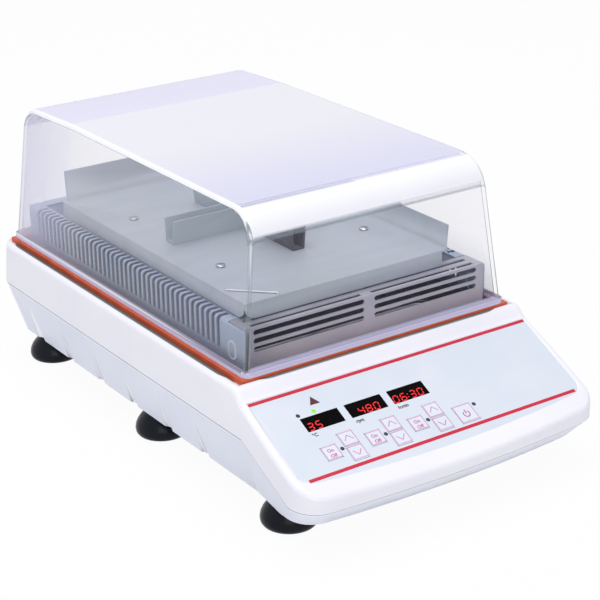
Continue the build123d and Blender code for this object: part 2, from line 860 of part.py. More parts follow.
with BuildPart() as crank:
    drum(crank_x, crank_y, shaft_bottom_z, crank_head_z, shaft_radius)
    # belt pulley: hub, web and rim with two flanges
    shaft_plane = Plane(origin=(crank_x, crank_y, 0), x_dir=(1, 0, 0), z_dir=(0, -1, 0))
    with BuildSketch(shaft_plane) as pulley_profile:
        with BuildLine():
            web_low = (pulley_bottom_z + pulley_top_z - drive_web) / 2
            web_high = web_low + drive_web
            rim_in = drive_pulley_radius - drive_rim
            rim_out = drive_pulley_radius + pulley_flange_reach
            Polyline(
                (0, pulley_bottom_z),
                (drive_hub, pulley_bottom_z),
                (drive_hub, web_low),
                (rim_in, web_low),
                (rim_in, pulley_bottom_z),
                (rim_out, pulley_bottom_z),
                (rim_out, pulley_bottom_z + pulley_flange),
                (drive_pulley_radius, pulley_bottom_z + pulley_flange),
                (drive_pulley_radius, pulley_top_z - pulley_flange),
                (rim_out, pulley_top_z - pulley_flange),
                (rim_out, pulley_top_z),
                (rim_in, pulley_top_z),
                (rim_in, web_high),
                (drive_hub, web_high),
                (drive_hub, pulley_top_z),
                (0, pulley_top_z),
                close=True,
            )
        make_face()
    revolve(pulley_profile.sketch, axis=Axis((crank_x, crank_y, 0), (0, 0, 1)))
    # head with the counterweight on the far side of the shaft
    with BuildSketch(level(crank_head_z)) as head:
        with Locations((crank_x, crank_y)):
            Circle(counterweight_radius)
            Rectangle(
                2 * counterweight_radius,
                2 * counterweight_radius,
                rotation=crank_phase,
                align=(Align.MIN, Align.CENTER),
                mode=Mode.SUBTRACT,
            )
            Circle(crank_head_radius)
        with Locations((pin_x, pin_y)):
            Circle(crank_head_radius)
    extrude(head.sketch, amount=crank_head_height)
    drum(pin_x, pin_y, crank_head_z, pin_top_z, crank_pin_radius)
save(crank, "crank")

with BuildPart() as drive_motor:
    drum(motor_x, motor_y, chassis_top_z, bearing_top_z, motor_radius)
    drum(
        motor_x,
        motor_y,
        bearing_top_z - motor_shaft_depth - axial_gap,
        bearing_top_z + 1,
        motor_shaft_radius + bore_gap,
        Mode.SUBTRACT,
    )
save(drive_motor, "drive_motor")

with BuildPart() as motor_pulley:
    drum(motor_x, motor_y, bearing_top_z - motor_shaft_depth, pulley_bottom_z, motor_shaft_radius)
    drum(motor_x, motor_y, pulley_bottom_z, pulley_top_z, motor_pulley_radius)
    flange_outer = motor_pulley_radius + pulley_flange_reach
    drum(motor_x, motor_y, pulley_bottom_z, pulley_bottom_z + pulley_flange, flange_outer)
    drum(motor_x, motor_y, pulley_top_z - pulley_flange, pulley_top_z, flange_outer)
save(motor_pulley, "motor_pulley")


def belt_loop(grow):
    """Open belt outline round both pulleys, grown outwards from the pulley seats."""
    big = drive_pulley_radius + belt_gap + grow
    small = motor_pulley_radius + belt_gap + grow
    with BuildSketch(level(pulley_bottom_z + pulley_flange + belt_gap)) as loop:
        with Locations((crank_x, crank_y)):
            Circle(big)
        with Locations((motor_x, motor_y)):
            Circle(small)
        make_hull()
    return loop.sketch


with BuildPart() as drive_belt:
    belt_height = pulley_height - 2 * (pulley_flange + belt_gap)
    extrude(belt_loop(belt_thickness), amount=belt_height)
    extrude(belt_loop(0.0), amount=belt_height, mode=Mode.SUBTRACT)
save(drive_belt, "drive_belt")

# ================================================================= heated chamber
with BuildPart() as chamber_pan:
    block(-pan_half, pan_half, pan_front_y, pan_back_y, pan_floor_z, pan_top_z)
    block(
        -pan_half - pan_flange,
        pan_half + pan_flange,
        pan_front_y - pan_flange,
        pan_back_y + pan_flange,
        ledge_z,
        pan_top_z,
    )
    block(
        -pan_half + sheet,
        pan_half - sheet,
        pan_front_y + sheet,
        pan_back_y - sheet,
        pan_floor_z + sheet,
        pan_top_z + 1,
        Mode.SUBTRACT,
    )
    drum(crank_x, crank_y, pan_floor_z - 1, pan_floor_z + 2 * sheet, shaft_radius + 1, Mode.SUBTRACT)
save(chamber_pan, "chamber_pan")

pan_inside_z = pan_floor_z + sheet

with BuildPart() as idler_posts:
    for post_x, post_y in idler_places:
        drum(post_x, post_y, pan_inside_z, pan_inside_z + idler_post_base_height, idler_post_base)
        drum(post_x, post_y, pan_inside_z, idler_arm_z - axial_gap, idler_post_radius)
        drum(
            post_x,
            post_y,
            idler_arm_z - axial_gap - idler_shaft_depth,
            idler_arm_z + 1,
            idler_pin_radius + bore_gap,
            Mode.SUBTRACT,
        )
save(idler_posts, "idler_posts")

for idler_index, (idler_x, idler_y) in enumerate(idler_places):
    reach_x = pin_x - crank_x
    reach_y = pin_y - crank_y
    with BuildPart() as idler:
        drum(idler_x, idler_y, idler_arm_z + axial_gap - idler_shaft_depth, idler_arm_z, idler_pin_radius)
        with BuildSketch(level(idler_arm_z)) as arm:
            with Locations((idler_x, idler_y), (idler_x + reach_x, idler_y + reach_y)):
                Circle(idler_arm_radius)
            make_hull()
        extrude(arm.sketch, amount=idler_arm_height)
        drum(idler_x + reach_x, idler_y + reach_y, idler_arm_z, pin_top_z, idler_pin_radius)
    save(idler, f"idler_crank_{idler_index + 1}")

with BuildPart() as front_grille:
    grille_half = panel_half - sheet - panel_gap
    with BuildSketch(lengthwise(-grille_half)) as bend:
        with BuildLine():
            Polyline(
                (pan_front_y, pan_top_z),
                (pan_front_y, deck_z),
                (pan_front_y + deck_flange_front, deck_z),
                (pan_front_y + deck_flange_front, deck_z - sheet),
                (pan_front_y + sheet, deck_z - sheet),
                (pan_front_y + sheet, pan_top_z),
                close=True,
            )
        make_face()
    extrude(bend.sketch, amount=2 * grille_half)
    slot_length = grille_half - front_slot_middle / 2 - front_slot_margin
    slot_middle_x = front_slot_middle / 2 + slot_length / 2
    for row in range(front_slot_rows):
        row_z = front_slot_top_z - row * front_slot_pitch
        with BuildSketch(across(pan_front_y - sheet)) as front_slots:
            with Locations((-slot_middle_x, row_z), (slot_middle_x, row_z)):
                SlotOverall(slot_length, front_slot_height)
        extrude(front_slots.sketch, amount=-3 * sheet, mode=Mode.SUBTRACT)
    for row in range(deck_slot_rows):
        slot_y = pan_front_y + deck_slot_setback + row * deck_slot_pitch
        with Locations(*[(side * slot_middle_x, slot_y, deck_z) for side in (-1, 1)]):
            Box(slot_length, deck_slot_width, 4 * sheet, mode=Mode.SUBTRACT)
save(front_grille, "front_grille")

for panel_name, side in (("louvre_panel_left", -1), ("louvre_panel_right", 1)):
    with BuildPart() as louvre_panel:
        panel_end_y = pan_back_y - sheet - panel_gap
        with BuildSketch(across(pan_front_y)) as wrap:
            with BuildLine():
                Polyline(
                    (side * panel_half, pan_top_z),
                    (side * panel_half, deck_z),
                    (side * (panel_half - deck_flange_side), deck_z),
                    (side * (panel_half - deck_flange_side), deck_z - sheet),
                    (side * (panel_half - sheet), deck_z - sheet),
                    (side * (panel_half - sheet), pan_top_z),
                    close=True,
                )
            make_face()
            fillet(wrap.vertices().sort_by_distance((side * panel_half, deck_z, 0))[0], bend_radius)
        extrude(wrap.sketch, amount=-(panel_end_y - pan_front_y))
        # the flange stops short at the front, where the grille's own flange lies
        edge_in = min(side * (panel_half - sheet), side * (panel_half - 2 * deck_flange_side))
        edge_out = max(side * (panel_half - sheet), side * (panel_half - 2 * deck_flange_side))
        flange_low = deck_z - 2 * sheet
        block(edge_in, edge_out, pan_front_y - 1, side_flange_start_y, flange_low, deck_z + 1, Mode.SUBTRACT)
        # louvre slots that wrap over the bend
        slot_in = min(side * (panel_half - louvre_reach), side * (panel_half + 1))
        slot_out = max(side * (panel_half - louvre_reach), side * (panel_half + 1))
        for slot in range(louvre_count):
            slot_y = louvre_first_y + slot * louvre_pitch
            block(
                slot_in,
                slot_out,
                slot_y - louvre_slot / 2,
                slot_y + louvre_slot / 2,
                louvre_bottom_z,
                deck_z + 1,
                Mode.SUBTRACT,
            )
        # raised oval boss by the front corner
        with BuildSketch(lengthwise(side * panel_half)) as boss:
            with Locations((boss_y, boss_z)):
                SlotOverall(boss_length, 2 * boss_radius, rotation=90)
        extrude(boss.sketch, amount=side * boss_proud)
    save(louvre_panel, panel_name)

with BuildPart() as rear_panel:
    block(-grille_half, grille_half, pan_back_y - sheet, pan_back_y, pan_top_z, deck_z)
    block(-grille_half, grille_half, pan_back_y - deck_flange_back, pan_back_y, deck_z - sheet, deck_z)
    # clear of the flanges on the side panels
    for side in (-1, 1):
        edge_in = min(side * (panel_half - deck_flange_side - panel_gap), side * (panel_half + 1))
        edge_out = max(side * (panel_half - deck_flange_side - panel_gap), side * (panel_half + 1))
        block(
            edge_in,
            edge_out,
            pan_back_y - deck_flange_back - 1,
            pan_back_y - sheet,
            deck_z - 2 * sheet,
            deck_z + 1,
            Mode.SUBTRACT,
        )
save(rear_panel, "rear_panel")

with BuildPart() as deck_plate:
    deck_top = deck_z - sheet
    deck_half = panel_half - sheet - panel_gap
    deck_front = pan_front_y + sheet + panel_gap
    deck_back = pan_back_y - sheet - panel_gap
    block(-deck_half, deck_half, deck_front, deck_back, deck_top - sheet, deck_top)
    # the front slots stay open through to the chamber
    slot_half = deck_half - deck_front_rest
    slot_back = pan_front_y + deck_flange_front - deck_slot_setback
    deck_low = deck_top - 2 * sheet
    block(-slot_half, slot_half, deck_front - 1, slot_back, deck_low, deck_top + 1, Mode.SUBTRACT)
    crank_hole = orbit_radius + crank_pin_radius + deck_hole_clear
    idler_hole = orbit_radius + idler_pin_radius + deck_hole_clear
    drum(crank_x, crank_y, deck_low, deck_top + 1, crank_hole, Mode.SUBTRACT)
    for hole_x, hole_y in idler_places:
        drum(hole_x, hole_y, deck_low, deck_top + 1, idler_hole, Mode.SUBTRACT)
    # side slots under the louvres
    for side in (-1, 1):
        edge_in = min(side * (deck_half - deck_side_slot), side * (deck_half + 1))
        edge_out = max(side * (deck_half - deck_side_slot), side * (deck_half + 1))
        run_front = louvre_first_y - louvre_overrun
        run_back = louvre_first_y + louvre_count * louvre_pitch - louvre_overrun
        block(edge_in, edge_out, run_front, run_back, deck_low, deck_top + 1, Mode.SUBTRACT)
save(deck_plate, "deck_plate")

# ================================================================= heating and air
with BuildPart() as heater_element:
    with BuildLine(level(heater_z)) as heater_path:
        FilletPolyline(
            (-heater_half, heater_front_y),
            (heater_half, heater_front_y),
            (heater_half, heater_back_y),
            (-heater_half, heater_back_y),
            radius=heater_bend,
        )
    with BuildSketch(Plane(origin=heater_path.line @ 0, z_dir=heater_path.line % 0)) as heater_tube:
        Circle(heater_radius)
    sweep(heater_tube.sketch, path=heater_path.line)
    clip_half = heater_clip / 2
    for clip_x in (-heater_half / 2, heater_half / 2):
        clip_front = heater_front_y - clip_half
        clip_back = heater_back_y + clip_half
        block(clip_x - clip_half, clip_x + clip_half, clip_front, clip_back, pan_inside_z, heater_z)
save(heater_element, "heater_element")

with BuildPart() as fan_motor:
    drum(fan_x, fan_y, pan_inside_z, fan_motor_top_z, fan_motor_radius)
    bore_low = fan_motor_top_z - fan_shaft_depth - axial_gap
    drum(fan_x, fan_y, bore_low, fan_motor_top_z + 1, fan_shaft_radius + bore_gap, Mode.SUBTRACT)
save(fan_motor, "fan_motor")

with BuildPart() as fan_impeller:
    plate_z = fan_motor_top_z + axial_gap
    drum(fan_x, fan_y, fan_motor_top_z - fan_shaft_depth, plate_z, fan_shaft_radius)
    drum(fan_x, fan_y, plate_z, plate_z + fan_plate, fan_radius)
    drum(fan_x, fan_y, plate_z, plate_z + fan_height, fan_hub)
    with BuildSketch(level(plate_z)) as blades:
        with Locations((fan_x, fan_y)):
            with PolarLocations(fan_radius - fan_hub, fan_blades):
                Rectangle(fan_blade_length, fan_blade_thickness, rotation=fan_blade_angle)
    extrude(blades.sketch, amount=fan_height)
save(fan_impeller, "fan_impeller")

with BuildPart() as temperature_probe:
    drum(probe_x, probe_y, pan_inside_z, pan_inside_z + probe_base_height, probe_base_radius)
    drum(probe_x, probe_y, pan_inside_z, pan_inside_z + probe_height, probe_radius)
save(temperature_probe, "temperature_probe")

# ================================================================= tray
with BuildPart() as tray_carrier:
    with BuildSketch(level(carrier_z)) as frame_plan:
        with Locations((pin_x - idler_spread_x, pin_y), (pin_x + idler_spread_x, pin_y)):
            RectangleRounded(carrier_bar, carrier_bar_length, carrier_bar / 3)
        with Locations((pin_x, pin_y)):
            Rectangle(2 * idler_spread_x, carrier_bar)
            Circle(carrier_boss)
    extrude(frame_plan.sketch, amount=carrier_height)
    carrier_top = carrier_z + carrier_height
    thread_low = tray_under_z - tray_screw_length
    for post_x, post_y in tray_screw_places:
        drum(post_x, post_y, carrier_top, tray_under_z, carrier_post_radius)
        drum(post_x, post_y, thread_low, tray_under_z + 1, tray_hole_radius, Mode.SUBTRACT)
    drum(pin_x, pin_y, carrier_z - 1, carrier_top + 1, crank_pin_radius + bore_gap, Mode.SUBTRACT)
    for idler_x, idler_y in idler_places:
        bore_x = idler_x + pin_x - crank_x
        bore_y = idler_y + pin_y - crank_y
        drum(bore_x, bore_y, carrier_z - 1, carrier_top + 1, idler_pin_radius + bore_gap, Mode.SUBTRACT)
save(tray_carrier, "tray_carrier")


def tray_outline(z, shrink):
    """Plan of the tray: square on the front and left, rounded at the back right corner."""
    with BuildSketch(level(z)) as outline:
        with Locations((pin_x, pin_y)):
            Rectangle(tray_width - 2 * shrink, tray_length - 2 * shrink)
        fillet(outline.vertices().group_by(Axis.Y)[-1].sort_by(Axis.X)[-1], tray_corner_round - shrink)
    return outline.sketch


with BuildPart() as tray_lips:
    # leaning band along the right side and round to the back, cut to its stepped top edge
    lip_top_z = tray_floor_z + back_lip_height
    inside_out = lip_lean_out - tray_sheet
    loft([tray_outline(tray_under_z, 0.0), tray_outline(lip_top_z, -lip_lean_out)], ruled=True)
    loft(
        [tray_outline(tray_under_z, tray_sheet), tray_outline(lip_top_z, -inside_out)],
        ruled=True,
        mode=Mode.SUBTRACT,
    )
    lip_end_y = tray_front_y + side_lip_front_inset
    lip_left_x = tray_left_x + back_lip_left_inset
    clear_x = tray_right_x - lip_band
    clear_y = tray_back_y - lip_band
    far_x = tray_right_x + 2 * lip_lean_out
    far_y = tray_back_y + 2 * lip_lean_out
    near_x = tray_left_x - 2 * lip_lean_out
    near_y = tray_front_y - 2 * lip_lean_out
    block(near_x, clear_x, near_y, clear_y, tray_under_z - 1, lid_top_z, Mode.SUBTRACT)
    block(near_x, far_x, near_y, lip_end_y, tray_under_z - 1, lid_top_z, Mode.SUBTRACT)
    block(near_x, lip_left_x, near_y, far_y, tray_under_z - 1, lid_top_z, Mode.SUBTRACT)
    side_lip_top_z = tray_floor_z + side_lip_height + side_lip_rise
    with BuildSketch(lengthwise(back_lip_start_x)) as over_lip:
        with BuildLine():
            Polyline(
                (near_y, tray_floor_z + side_lip_height),
                (tray_front_y + side_lip_step_y, tray_floor_z + side_lip_height),
                (tray_front_y + side_lip_step_y + side_lip_step, side_lip_top_z),
                (tray_back_y - tray_corner_round, side_lip_top_z),
                (tray_back_y + lip_lean_out, lip_top_z),
                (far_y, lid_top_z),
                (near_y, lid_top_z),
                close=True,
            )
        make_face()
    extrude(over_lip.sketch, amount=half_width, mode=Mode.SUBTRACT)

with BuildPart() as tray:
    extrude(tray_outline(tray_under_z, 0.0), amount=tray_sheet)
    add(tray_lips.part)
    # skirts turned down along the front and the left side
    skirt_low = tray_floor_z - tray_skirt
    with BuildSketch(across(tray_front_y)) as front_skirt:
        with BuildLine():
            Polyline(
                (tray_left_x, tray_under_z),
                (tray_left_x, skirt_low),
                (tray_right_x - tray_skirt_end, skirt_low),
                (tray_right_x - tray_skirt_end, tray_under_z),
                close=True,
            )
        make_face()
        fillet(front_skirt.vertices().sort_by_distance((tray_left_x, skirt_low, 0))[0], tray_skirt_round)
    extrude(front_skirt.sketch, amount=-tray_sheet)
    with BuildSketch(lengthwise(tray_left_x)) as left_skirt:
        with BuildLine():
            Polyline(
                (tray_front_y + tray_sheet, tray_under_z),
                (tray_front_y + tray_sheet, skirt_low),
                (tray_back_y, skirt_low),
                (tray_back_y, tray_under_z),
                close=True,
            )
        make_face()
        low_corner = (tray_front_y + tray_sheet, skirt_low, 0)
        fillet(left_skirt.vertices().sort_by_distance(low_corner)[0], tray_skirt_round)
    extrude(left_skirt.sketch, amount=tray_sheet)
    for hole_x, hole_y in tray_screw_places:
        drum(hole_x, hole_y, tray_under_z - 1, tray_floor_z + 1, tray_hole_radius, Mode.SUBTRACT)
    rod_ends = (
        (tray_left_x + 2 * corner_rod_end, tray_front_y + corner_rod_inset),
        (tray_left_x + corner_rod_inset, tray_front_y + 2 * corner_rod_end),
    )
    for hole_x, hole_y in rod_ends:
        drum(hole_x, hole_y, tray_under_z - 1, tray_floor_z + 1, corner_rod_hole, Mode.SUBTRACT)
save(tray, "tray")

with BuildPart() as corner_rod:
    # thin bar across the front left corner, its ends turned down through the floor
    with BuildLine() as rod_path:
        rod_z = tray_floor_z + corner_rod_radius
        FilletPolyline(
            (rod_ends[0][0], rod_ends[0][1], tray_under_z - corner_rod_tail),
            (rod_ends[0][0], rod_ends[0][1], rod_z),
            (rod_ends[1][0], rod_ends[1][1], rod_z),
            (rod_ends[1][0], rod_ends[1][1], tray_under_z - corner_rod_tail),
            radius=corner_rod_bend,
        )
    with BuildSketch(Plane(origin=rod_path.line @ 0, z_dir=rod_path.line % 0)) as rod_section:
        Circle(corner_rod_radius)
    sweep(rod_section.sketch, path=rod_path.line)
save(corner_rod, "corner_rod")

with BuildPart() as tray_screws:
    for screw_x, screw_y in tray_screw_places:
        drum(screw_x, screw_y, tray_under_z - tray_screw_length + axial_gap, tray_floor_z, tray_screw_radius)
        drum(screw_x, screw_y, tray_floor_z, tray_floor_z + tray_screw_head_height, tray_screw_head)
save(tray_screws, "tray_screws")


def divider_arm(along_x, sink):
    """One flared bar of the cross, thinner by sink all round."""
    reach = divider_half + sink
    base = Plane(origin=(pin_x - reach, pin_y, tray_floor_z), x_dir=(0, 1, 0), z_dir=(1, 0, 0))
    if not along_x:
        base = Plane(origin=(pin_x, pin_y - reach, tray_floor_z), x_dir=(-1, 0, 0), z_dir=(0, 1, 0))
    flare = (divider_top - divider_bottom) / 2 / divider_height
    low_half = divider_bottom / 2 + flare * sink - sink
    high_half = divider_top / 2 + flare * sink - sink
    with BuildSketch(base) as section:
        with BuildLine():
            Polyline(
                (-low_half, sink),
                (low_half, sink),
                (high_half, divider_height + sink),
                (-high_half, divider_height + sink),
                close=True,
            )
        make_face()
    return section.sketch


with BuildPart() as tray_divider:
    extrude(divider_arm(True, 0.0), amount=2 * divider_half)
    extrude(divider_arm(False, 0.0), amount=2 * divider_half)
    extrude(divider_arm(True, divider_sheet), amount=2 * (divider_half + divider_sheet), mode=Mode.SUBTRACT)
    extrude(divider_arm(False, divider_sheet), amount=2 * (divider_half + divider_sheet), mode=Mode.SUBTRACT)
save(tray_divider, "tray_divider")

with BuildPart() as divider_screws:
    screw_low = tray_floor_z + divider_sheet
    for screw_x, screw_y in ((0, -1), (0, 1), (-1, 0), (1, 0)):
        drum(
            pin_x + screw_x * (divider_half - divider_screw_inset),
            pin_y + screw_y * (divider_half - divider_screw_inset),
            screw_low,
            screw_low + tray_screw_head_height,
            divider_screw_head,
        )
save(divider_screws, "divider_screws")

# ================================================================= gasket and lid
with BuildPart() as lid_gasket:
    with BuildSketch(level(groove_floor_z)) as band:
        with Locations((0, (gasket_front_y + gasket_back_y) / 2)):
            Rectangle(2 * gasket_half, gasket_back_y - gasket_front_y)
            Rectangle(
                2 * (gasket_half - gasket_band),
                gasket_back_y - gasket_front_y - 2 * gasket_band,
                mode=Mode.SUBTRACT,
            )
    extrude(band.sketch, amount=gasket_thickness)
save(lid_gasket, "lid_gasket")


def lid_back_at(z):
    """Y of the lid's outer back face at height z."""
    return lid_back_y - (z - lid_bottom_z) * tan(radians(lid_back_draft))


def lid_solid(skin):
    """Solid block of the lid, offset inwards by skin, open downwards below its bottom."""
    top = lid_top_z - skin
    low = lid_bottom_z - (0 if skin == 0 else 1)
    slope = (lid_bottom_half - lid_top_half) / (lid_top_z - lid_bottom_z)
    front = lid_front_y + skin
    back = lid_back_y - skin
    front_top = front + (top - lid_bottom_z) * tan(radians(lid_front_draft))
    back_top = back - (top - lid_rear_drop - lid_bottom_z) * tan(radians(lid_back_draft))
    crease_drop = lid_rear_drop * (back_top - lid_crease_y) / (lid_crease_end_y - lid_crease_y)
    with BuildSketch(lengthwise()) as profile:
        with BuildLine():
            Polyline(
                (front, low),
                (front_top, top),
                (lid_crease_y, top),
                (back_top, top - crease_drop),
                (back, low),
                close=True,
            )
        make_face()
        fillet(profile.vertices().sort_by_distance((front_top, top, 0))[0], lid_front_radius - skin)
        back_corner = (back_top, top - crease_drop, 0)
        fillet(profile.vertices().sort_by_distance(back_corner)[0], lid_back_radius - skin)
    with BuildSketch(across(0)) as gable:
        with BuildLine():
            half_low = lid_bottom_half - skin + slope * (lid_bottom_z - low)
            half_high = lid_bottom_half - skin - slope * (top + 2 - lid_bottom_z)
            Polyline(
                (-half_low, low),
                (half_low, low),
                (half_high, top + 2),
                (-half_high, top + 2),
                close=True,
            )
        make_face()
    extrude(profile.sketch, amount=width, both=True)
    extrude(gable.sketch, amount=length, both=True, mode=Mode.INTERSECT)


def long_edges(builder, low):
    """Edges between the side faces and the rest, without the open bottom."""
    sides = builder.faces().sort_by(Axis.X)
    edges = sides[0].edges() + sides[-1].edges()
    return edges.filter_by(lambda e: e.center().Z > low + 1)


with BuildPart() as lid_hollow:
    lid_solid(lid_wall)
    fillet(long_edges(lid_hollow, lid_bottom_z), lid_edge_round - lid_wall / 2)

with BuildPart() as lid:
    lid_solid(0.0)
    fillet(long_edges(lid, lid_bottom_z), lid_edge_round)
    # small bead round the bottom
    with BuildSketch(level(lid_bottom_z)) as bead:
        with Locations((0, (lid_front_y + lid_back_y) / 2)):
            RectangleRounded(
                2 * (lid_bottom_half + lid_rim_proud),
                lid_back_y - lid_front_y + 2 * lid_rim_proud,
                lid_edge_round + lid_rim_proud,
            )
    extrude(bead.sketch, amount=lid_rim_height)
    add(lid_hollow.part, mode=Mode.SUBTRACT)
save(lid, "lid")

# ================================================================= lid hinges

def barrel(x0, x1, radius, mode=Mode.ADD):
    """A cylinder along the hinge axis."""
    with BuildSketch(lengthwise(x0)) as ring:
        with Locations((hinge_axis_y, hinge_axis_z)):
            Circle(radius)
    extrude(ring.sketch, amount=x1 - x0, mode=mode)


with BuildPart() as hinge_brackets:
    for hinge_x in hinge_places_x:
        reach = 1.5 * hinge_knuckle
        inner = hinge_knuckle / 2 + hinge_knuckle_gap
        base_front = hinge_pad_front_y + hinge_base_setback
        base_back = hinge_pad_back_y - hinge_base_setback / 2
        base_top = ledge_z + hinge_base_thickness
        block(hinge_x - reach, hinge_x + reach, base_front, base_back, ledge_z, base_top)
        for side in (-1, 1):
            x0 = hinge_x + min(side * inner, side * reach)
            x1 = hinge_x + max(side * inner, side * reach)
            ear_front = hinge_axis_y - hinge_barrel_radius
            block(x0, x1, ear_front, hinge_axis_y + hinge_barrel_radius, ledge_z, hinge_axis_z)
            barrel(x0, x1, hinge_barrel_radius)
        barrel(hinge_x - reach - 1, hinge_x + reach + 1, hinge_pin_radius + hinge_pin_gap, Mode.SUBTRACT)
save(hinge_brackets, "hinge_brackets")

with BuildPart() as hinge_leaves:
    for hinge_x in hinge_places_x:
        knuckle = hinge_knuckle / 2
        leaf_half = 1.5 * hinge_knuckle - hinge_leaf_clear
        leaf_low = lid_bottom_z + lid_rim_height + hinge_leaf_clear
        leaf_turn = hinge_axis_z + hinge_barrel_radius + hinge_leaf_clear
        with BuildSketch(lengthwise(hinge_x - leaf_half)) as leaf:
            with BuildLine():
                Polyline(
                    (lid_back_at(leaf_turn), leaf_turn),
                    (lid_back_at(leaf_turn) + hinge_leaf_thickness, leaf_turn),
                    (lid_back_at(hinge_leaf_top_z) + hinge_leaf_thickness, hinge_leaf_top_z),
                    (lid_back_at(hinge_leaf_top_z), hinge_leaf_top_z),
                    close=True,
                )
            make_face()
        extrude(leaf.sketch, amount=2 * leaf_half)
        with BuildSketch(lengthwise(hinge_x - knuckle)) as neck:
            with BuildLine():
                Polyline(
                    (lid_back_at(leaf_low), leaf_low),
                    (hinge_axis_y, leaf_low),
                    (hinge_axis_y, hinge_axis_z + hinge_barrel_radius),
                    (lid_back_at(leaf_turn) + hinge_leaf_thickness, leaf_turn + hinge_leaf_thickness),
                    (lid_back_at(leaf_turn + hinge_leaf_thickness), leaf_turn + hinge_leaf_thickness),
                    close=True,
                )
            make_face()
        extrude(neck.sketch, amount=2 * knuckle)
        barrel(hinge_x - knuckle, hinge_x + knuckle, hinge_barrel_radius)
        barrel(hinge_x - knuckle - 1, hinge_x + knuckle + 1, hinge_pin_radius + hinge_pin_gap, Mode.SUBTRACT)
save(hinge_leaves, "hinge_leaves")

with BuildPart() as hinge_pins:
    for hinge_x in hinge_places_x:
        barrel(hinge_x - 1.5 * hinge_knuckle, hinge_x + 1.5 * hinge_knuckle, hinge_pin_radius)
save(hinge_pins, "hinge_pins")

# ================================================================= feet
# six suction feet: a flaring skirt with a beaded rim under a straight neck
stud_hole = foot_stud_radius + foot_stud_gap
flare = foot_radius - foot_neck
neck_rise = foot_neck_z - foot_bead
for foot_index, (place_x, place_y) in enumerate(foot_places):
    foot_plane = Plane(origin=(place_x, place_y, 0), x_dir=(1, 0, 0), z_dir=(0, -1, 0))
    with BuildPart() as foot:
        with BuildSketch(foot_plane) as foot_profile:
            with BuildLine():
                Polyline(
                    (0, foot_hollow),
                    (foot_radius - foot_lip, 0),
                    (foot_radius, 0),
                    (foot_radius + foot_bead_proud, foot_bead / 2),
                    (foot_radius, foot_bead),
                    (foot_neck + flare / 2, foot_bead + neck_rise / 3),
                    (foot_neck + flare / 8, foot_bead + neck_rise * 3 / 4),
                    (foot_neck, foot_neck_z),
                    (foot_neck, underside_z),
                    (stud_hole, underside_z),
                    (stud_hole, underside_z - foot_stud_drop),
                    (0, underside_z - foot_stud_drop),
                    close=True,
                )
            make_face()
        revolve(foot_profile.sketch, axis=Axis((place_x, place_y, 0), (0, 0, 1)))
    save(foot, f"foot_{foot_index + 1}")

with BuildPart() as foot_studs:
    nut_low = underside_z + housing_wall
    stud_low = underside_z - foot_stud_drop + axial_gap
    for place_x, place_y in foot_places:
        drum(place_x, place_y, stud_low, nut_low + foot_nut_height, foot_stud_radius)
        with BuildSketch(level(nut_low)) as nut:
            with Locations((place_x, place_y)):
                RegularPolygon(foot_nut_width / 2, 6)
        extrude(nut.sketch, amount=foot_nut_height)
save(foot_studs, "foot_studs")

# ================================================================= rear connections and screws
with BuildPart() as power_inlet:
    body_half = inlet_width / 2 - inlet_gap
    body_tall = inlet_height / 2 - inlet_gap
    body_front = pocket_floor_y - inlet_depth
    body_back = pocket_floor_y + inlet_collar
    body_low = inlet_z - body_tall
    block(inlet_x - body_half, inlet_x + body_half, body_front, body_back, body_low, inlet_z + body_tall)
    flange_half = inlet_width / 2 + inlet_flange
    flange_tall = pocket_height / 2 - housing_wall - inlet_gap
    flange_y = pocket_floor_y + inlet_flange_thickness
    flange_low = inlet_z - flange_tall
    flange_high = inlet_z + flange_tall
    block(inlet_x - flange_half, inlet_x + flange_half, pocket_floor_y, flange_y, flange_low, flange_high)
    socket_z = inlet_z + socket_rise
    socket_floor_y = flange_y - socket_depth
    block(
        inlet_x - socket_width / 2,
        inlet_x + socket_width / 2,
        socket_floor_y,
        flange_y + 1,
        socket_z - socket_height / 2,
        socket_z + socket_height / 2,
        Mode.SUBTRACT,
    )
    contacts = ((-pin_spread, -side_pin_drop), (0, middle_pin_rise), (pin_spread, -side_pin_drop))
    for contact_x, contact_z in contacts:
        block(
            inlet_x + contact_x - pin_width / 2,
            inlet_x + contact_x + pin_width / 2,
            socket_floor_y - 1,
            socket_floor_y + pin_length,
            socket_z + contact_z - pin_height / 2,
            socket_z + contact_z + pin_height / 2,
        )
    drawer_z = inlet_z - drawer_drop
    slot_half = drawer_width / 2 + drawer_gap
    slot_tall = drawer_height / 2 + drawer_gap
    block(
        inlet_x - slot_half,
        inlet_x + slot_half,
        flange_y - drawer_depth - drawer_gap,
        flange_y + 1,
        drawer_z - slot_tall,
        drawer_z + slot_tall,
        Mode.SUBTRACT,
    )
save(power_inlet, "power_inlet")

with BuildPart() as fuse_drawer:
    block(
        inlet_x - drawer_width / 2,
        inlet_x + drawer_width / 2,
        flange_y - drawer_depth,
        flange_y + drawer_gap,
        drawer_z - drawer_height / 2,
        drawer_z + drawer_height / 2,
    )
    face_half = drawer_width / 2 + drawer_face_grow
    face_tall = drawer_height / 2 + drawer_face_grow
    face_y = flange_y + drawer_gap
    face_out = face_y + drawer_face
    face_low = drawer_z - face_tall
    block(inlet_x - face_half, inlet_x + face_half, face_y, face_out, face_low, drawer_z + face_tall)
save(fuse_drawer, "fuse_drawer")

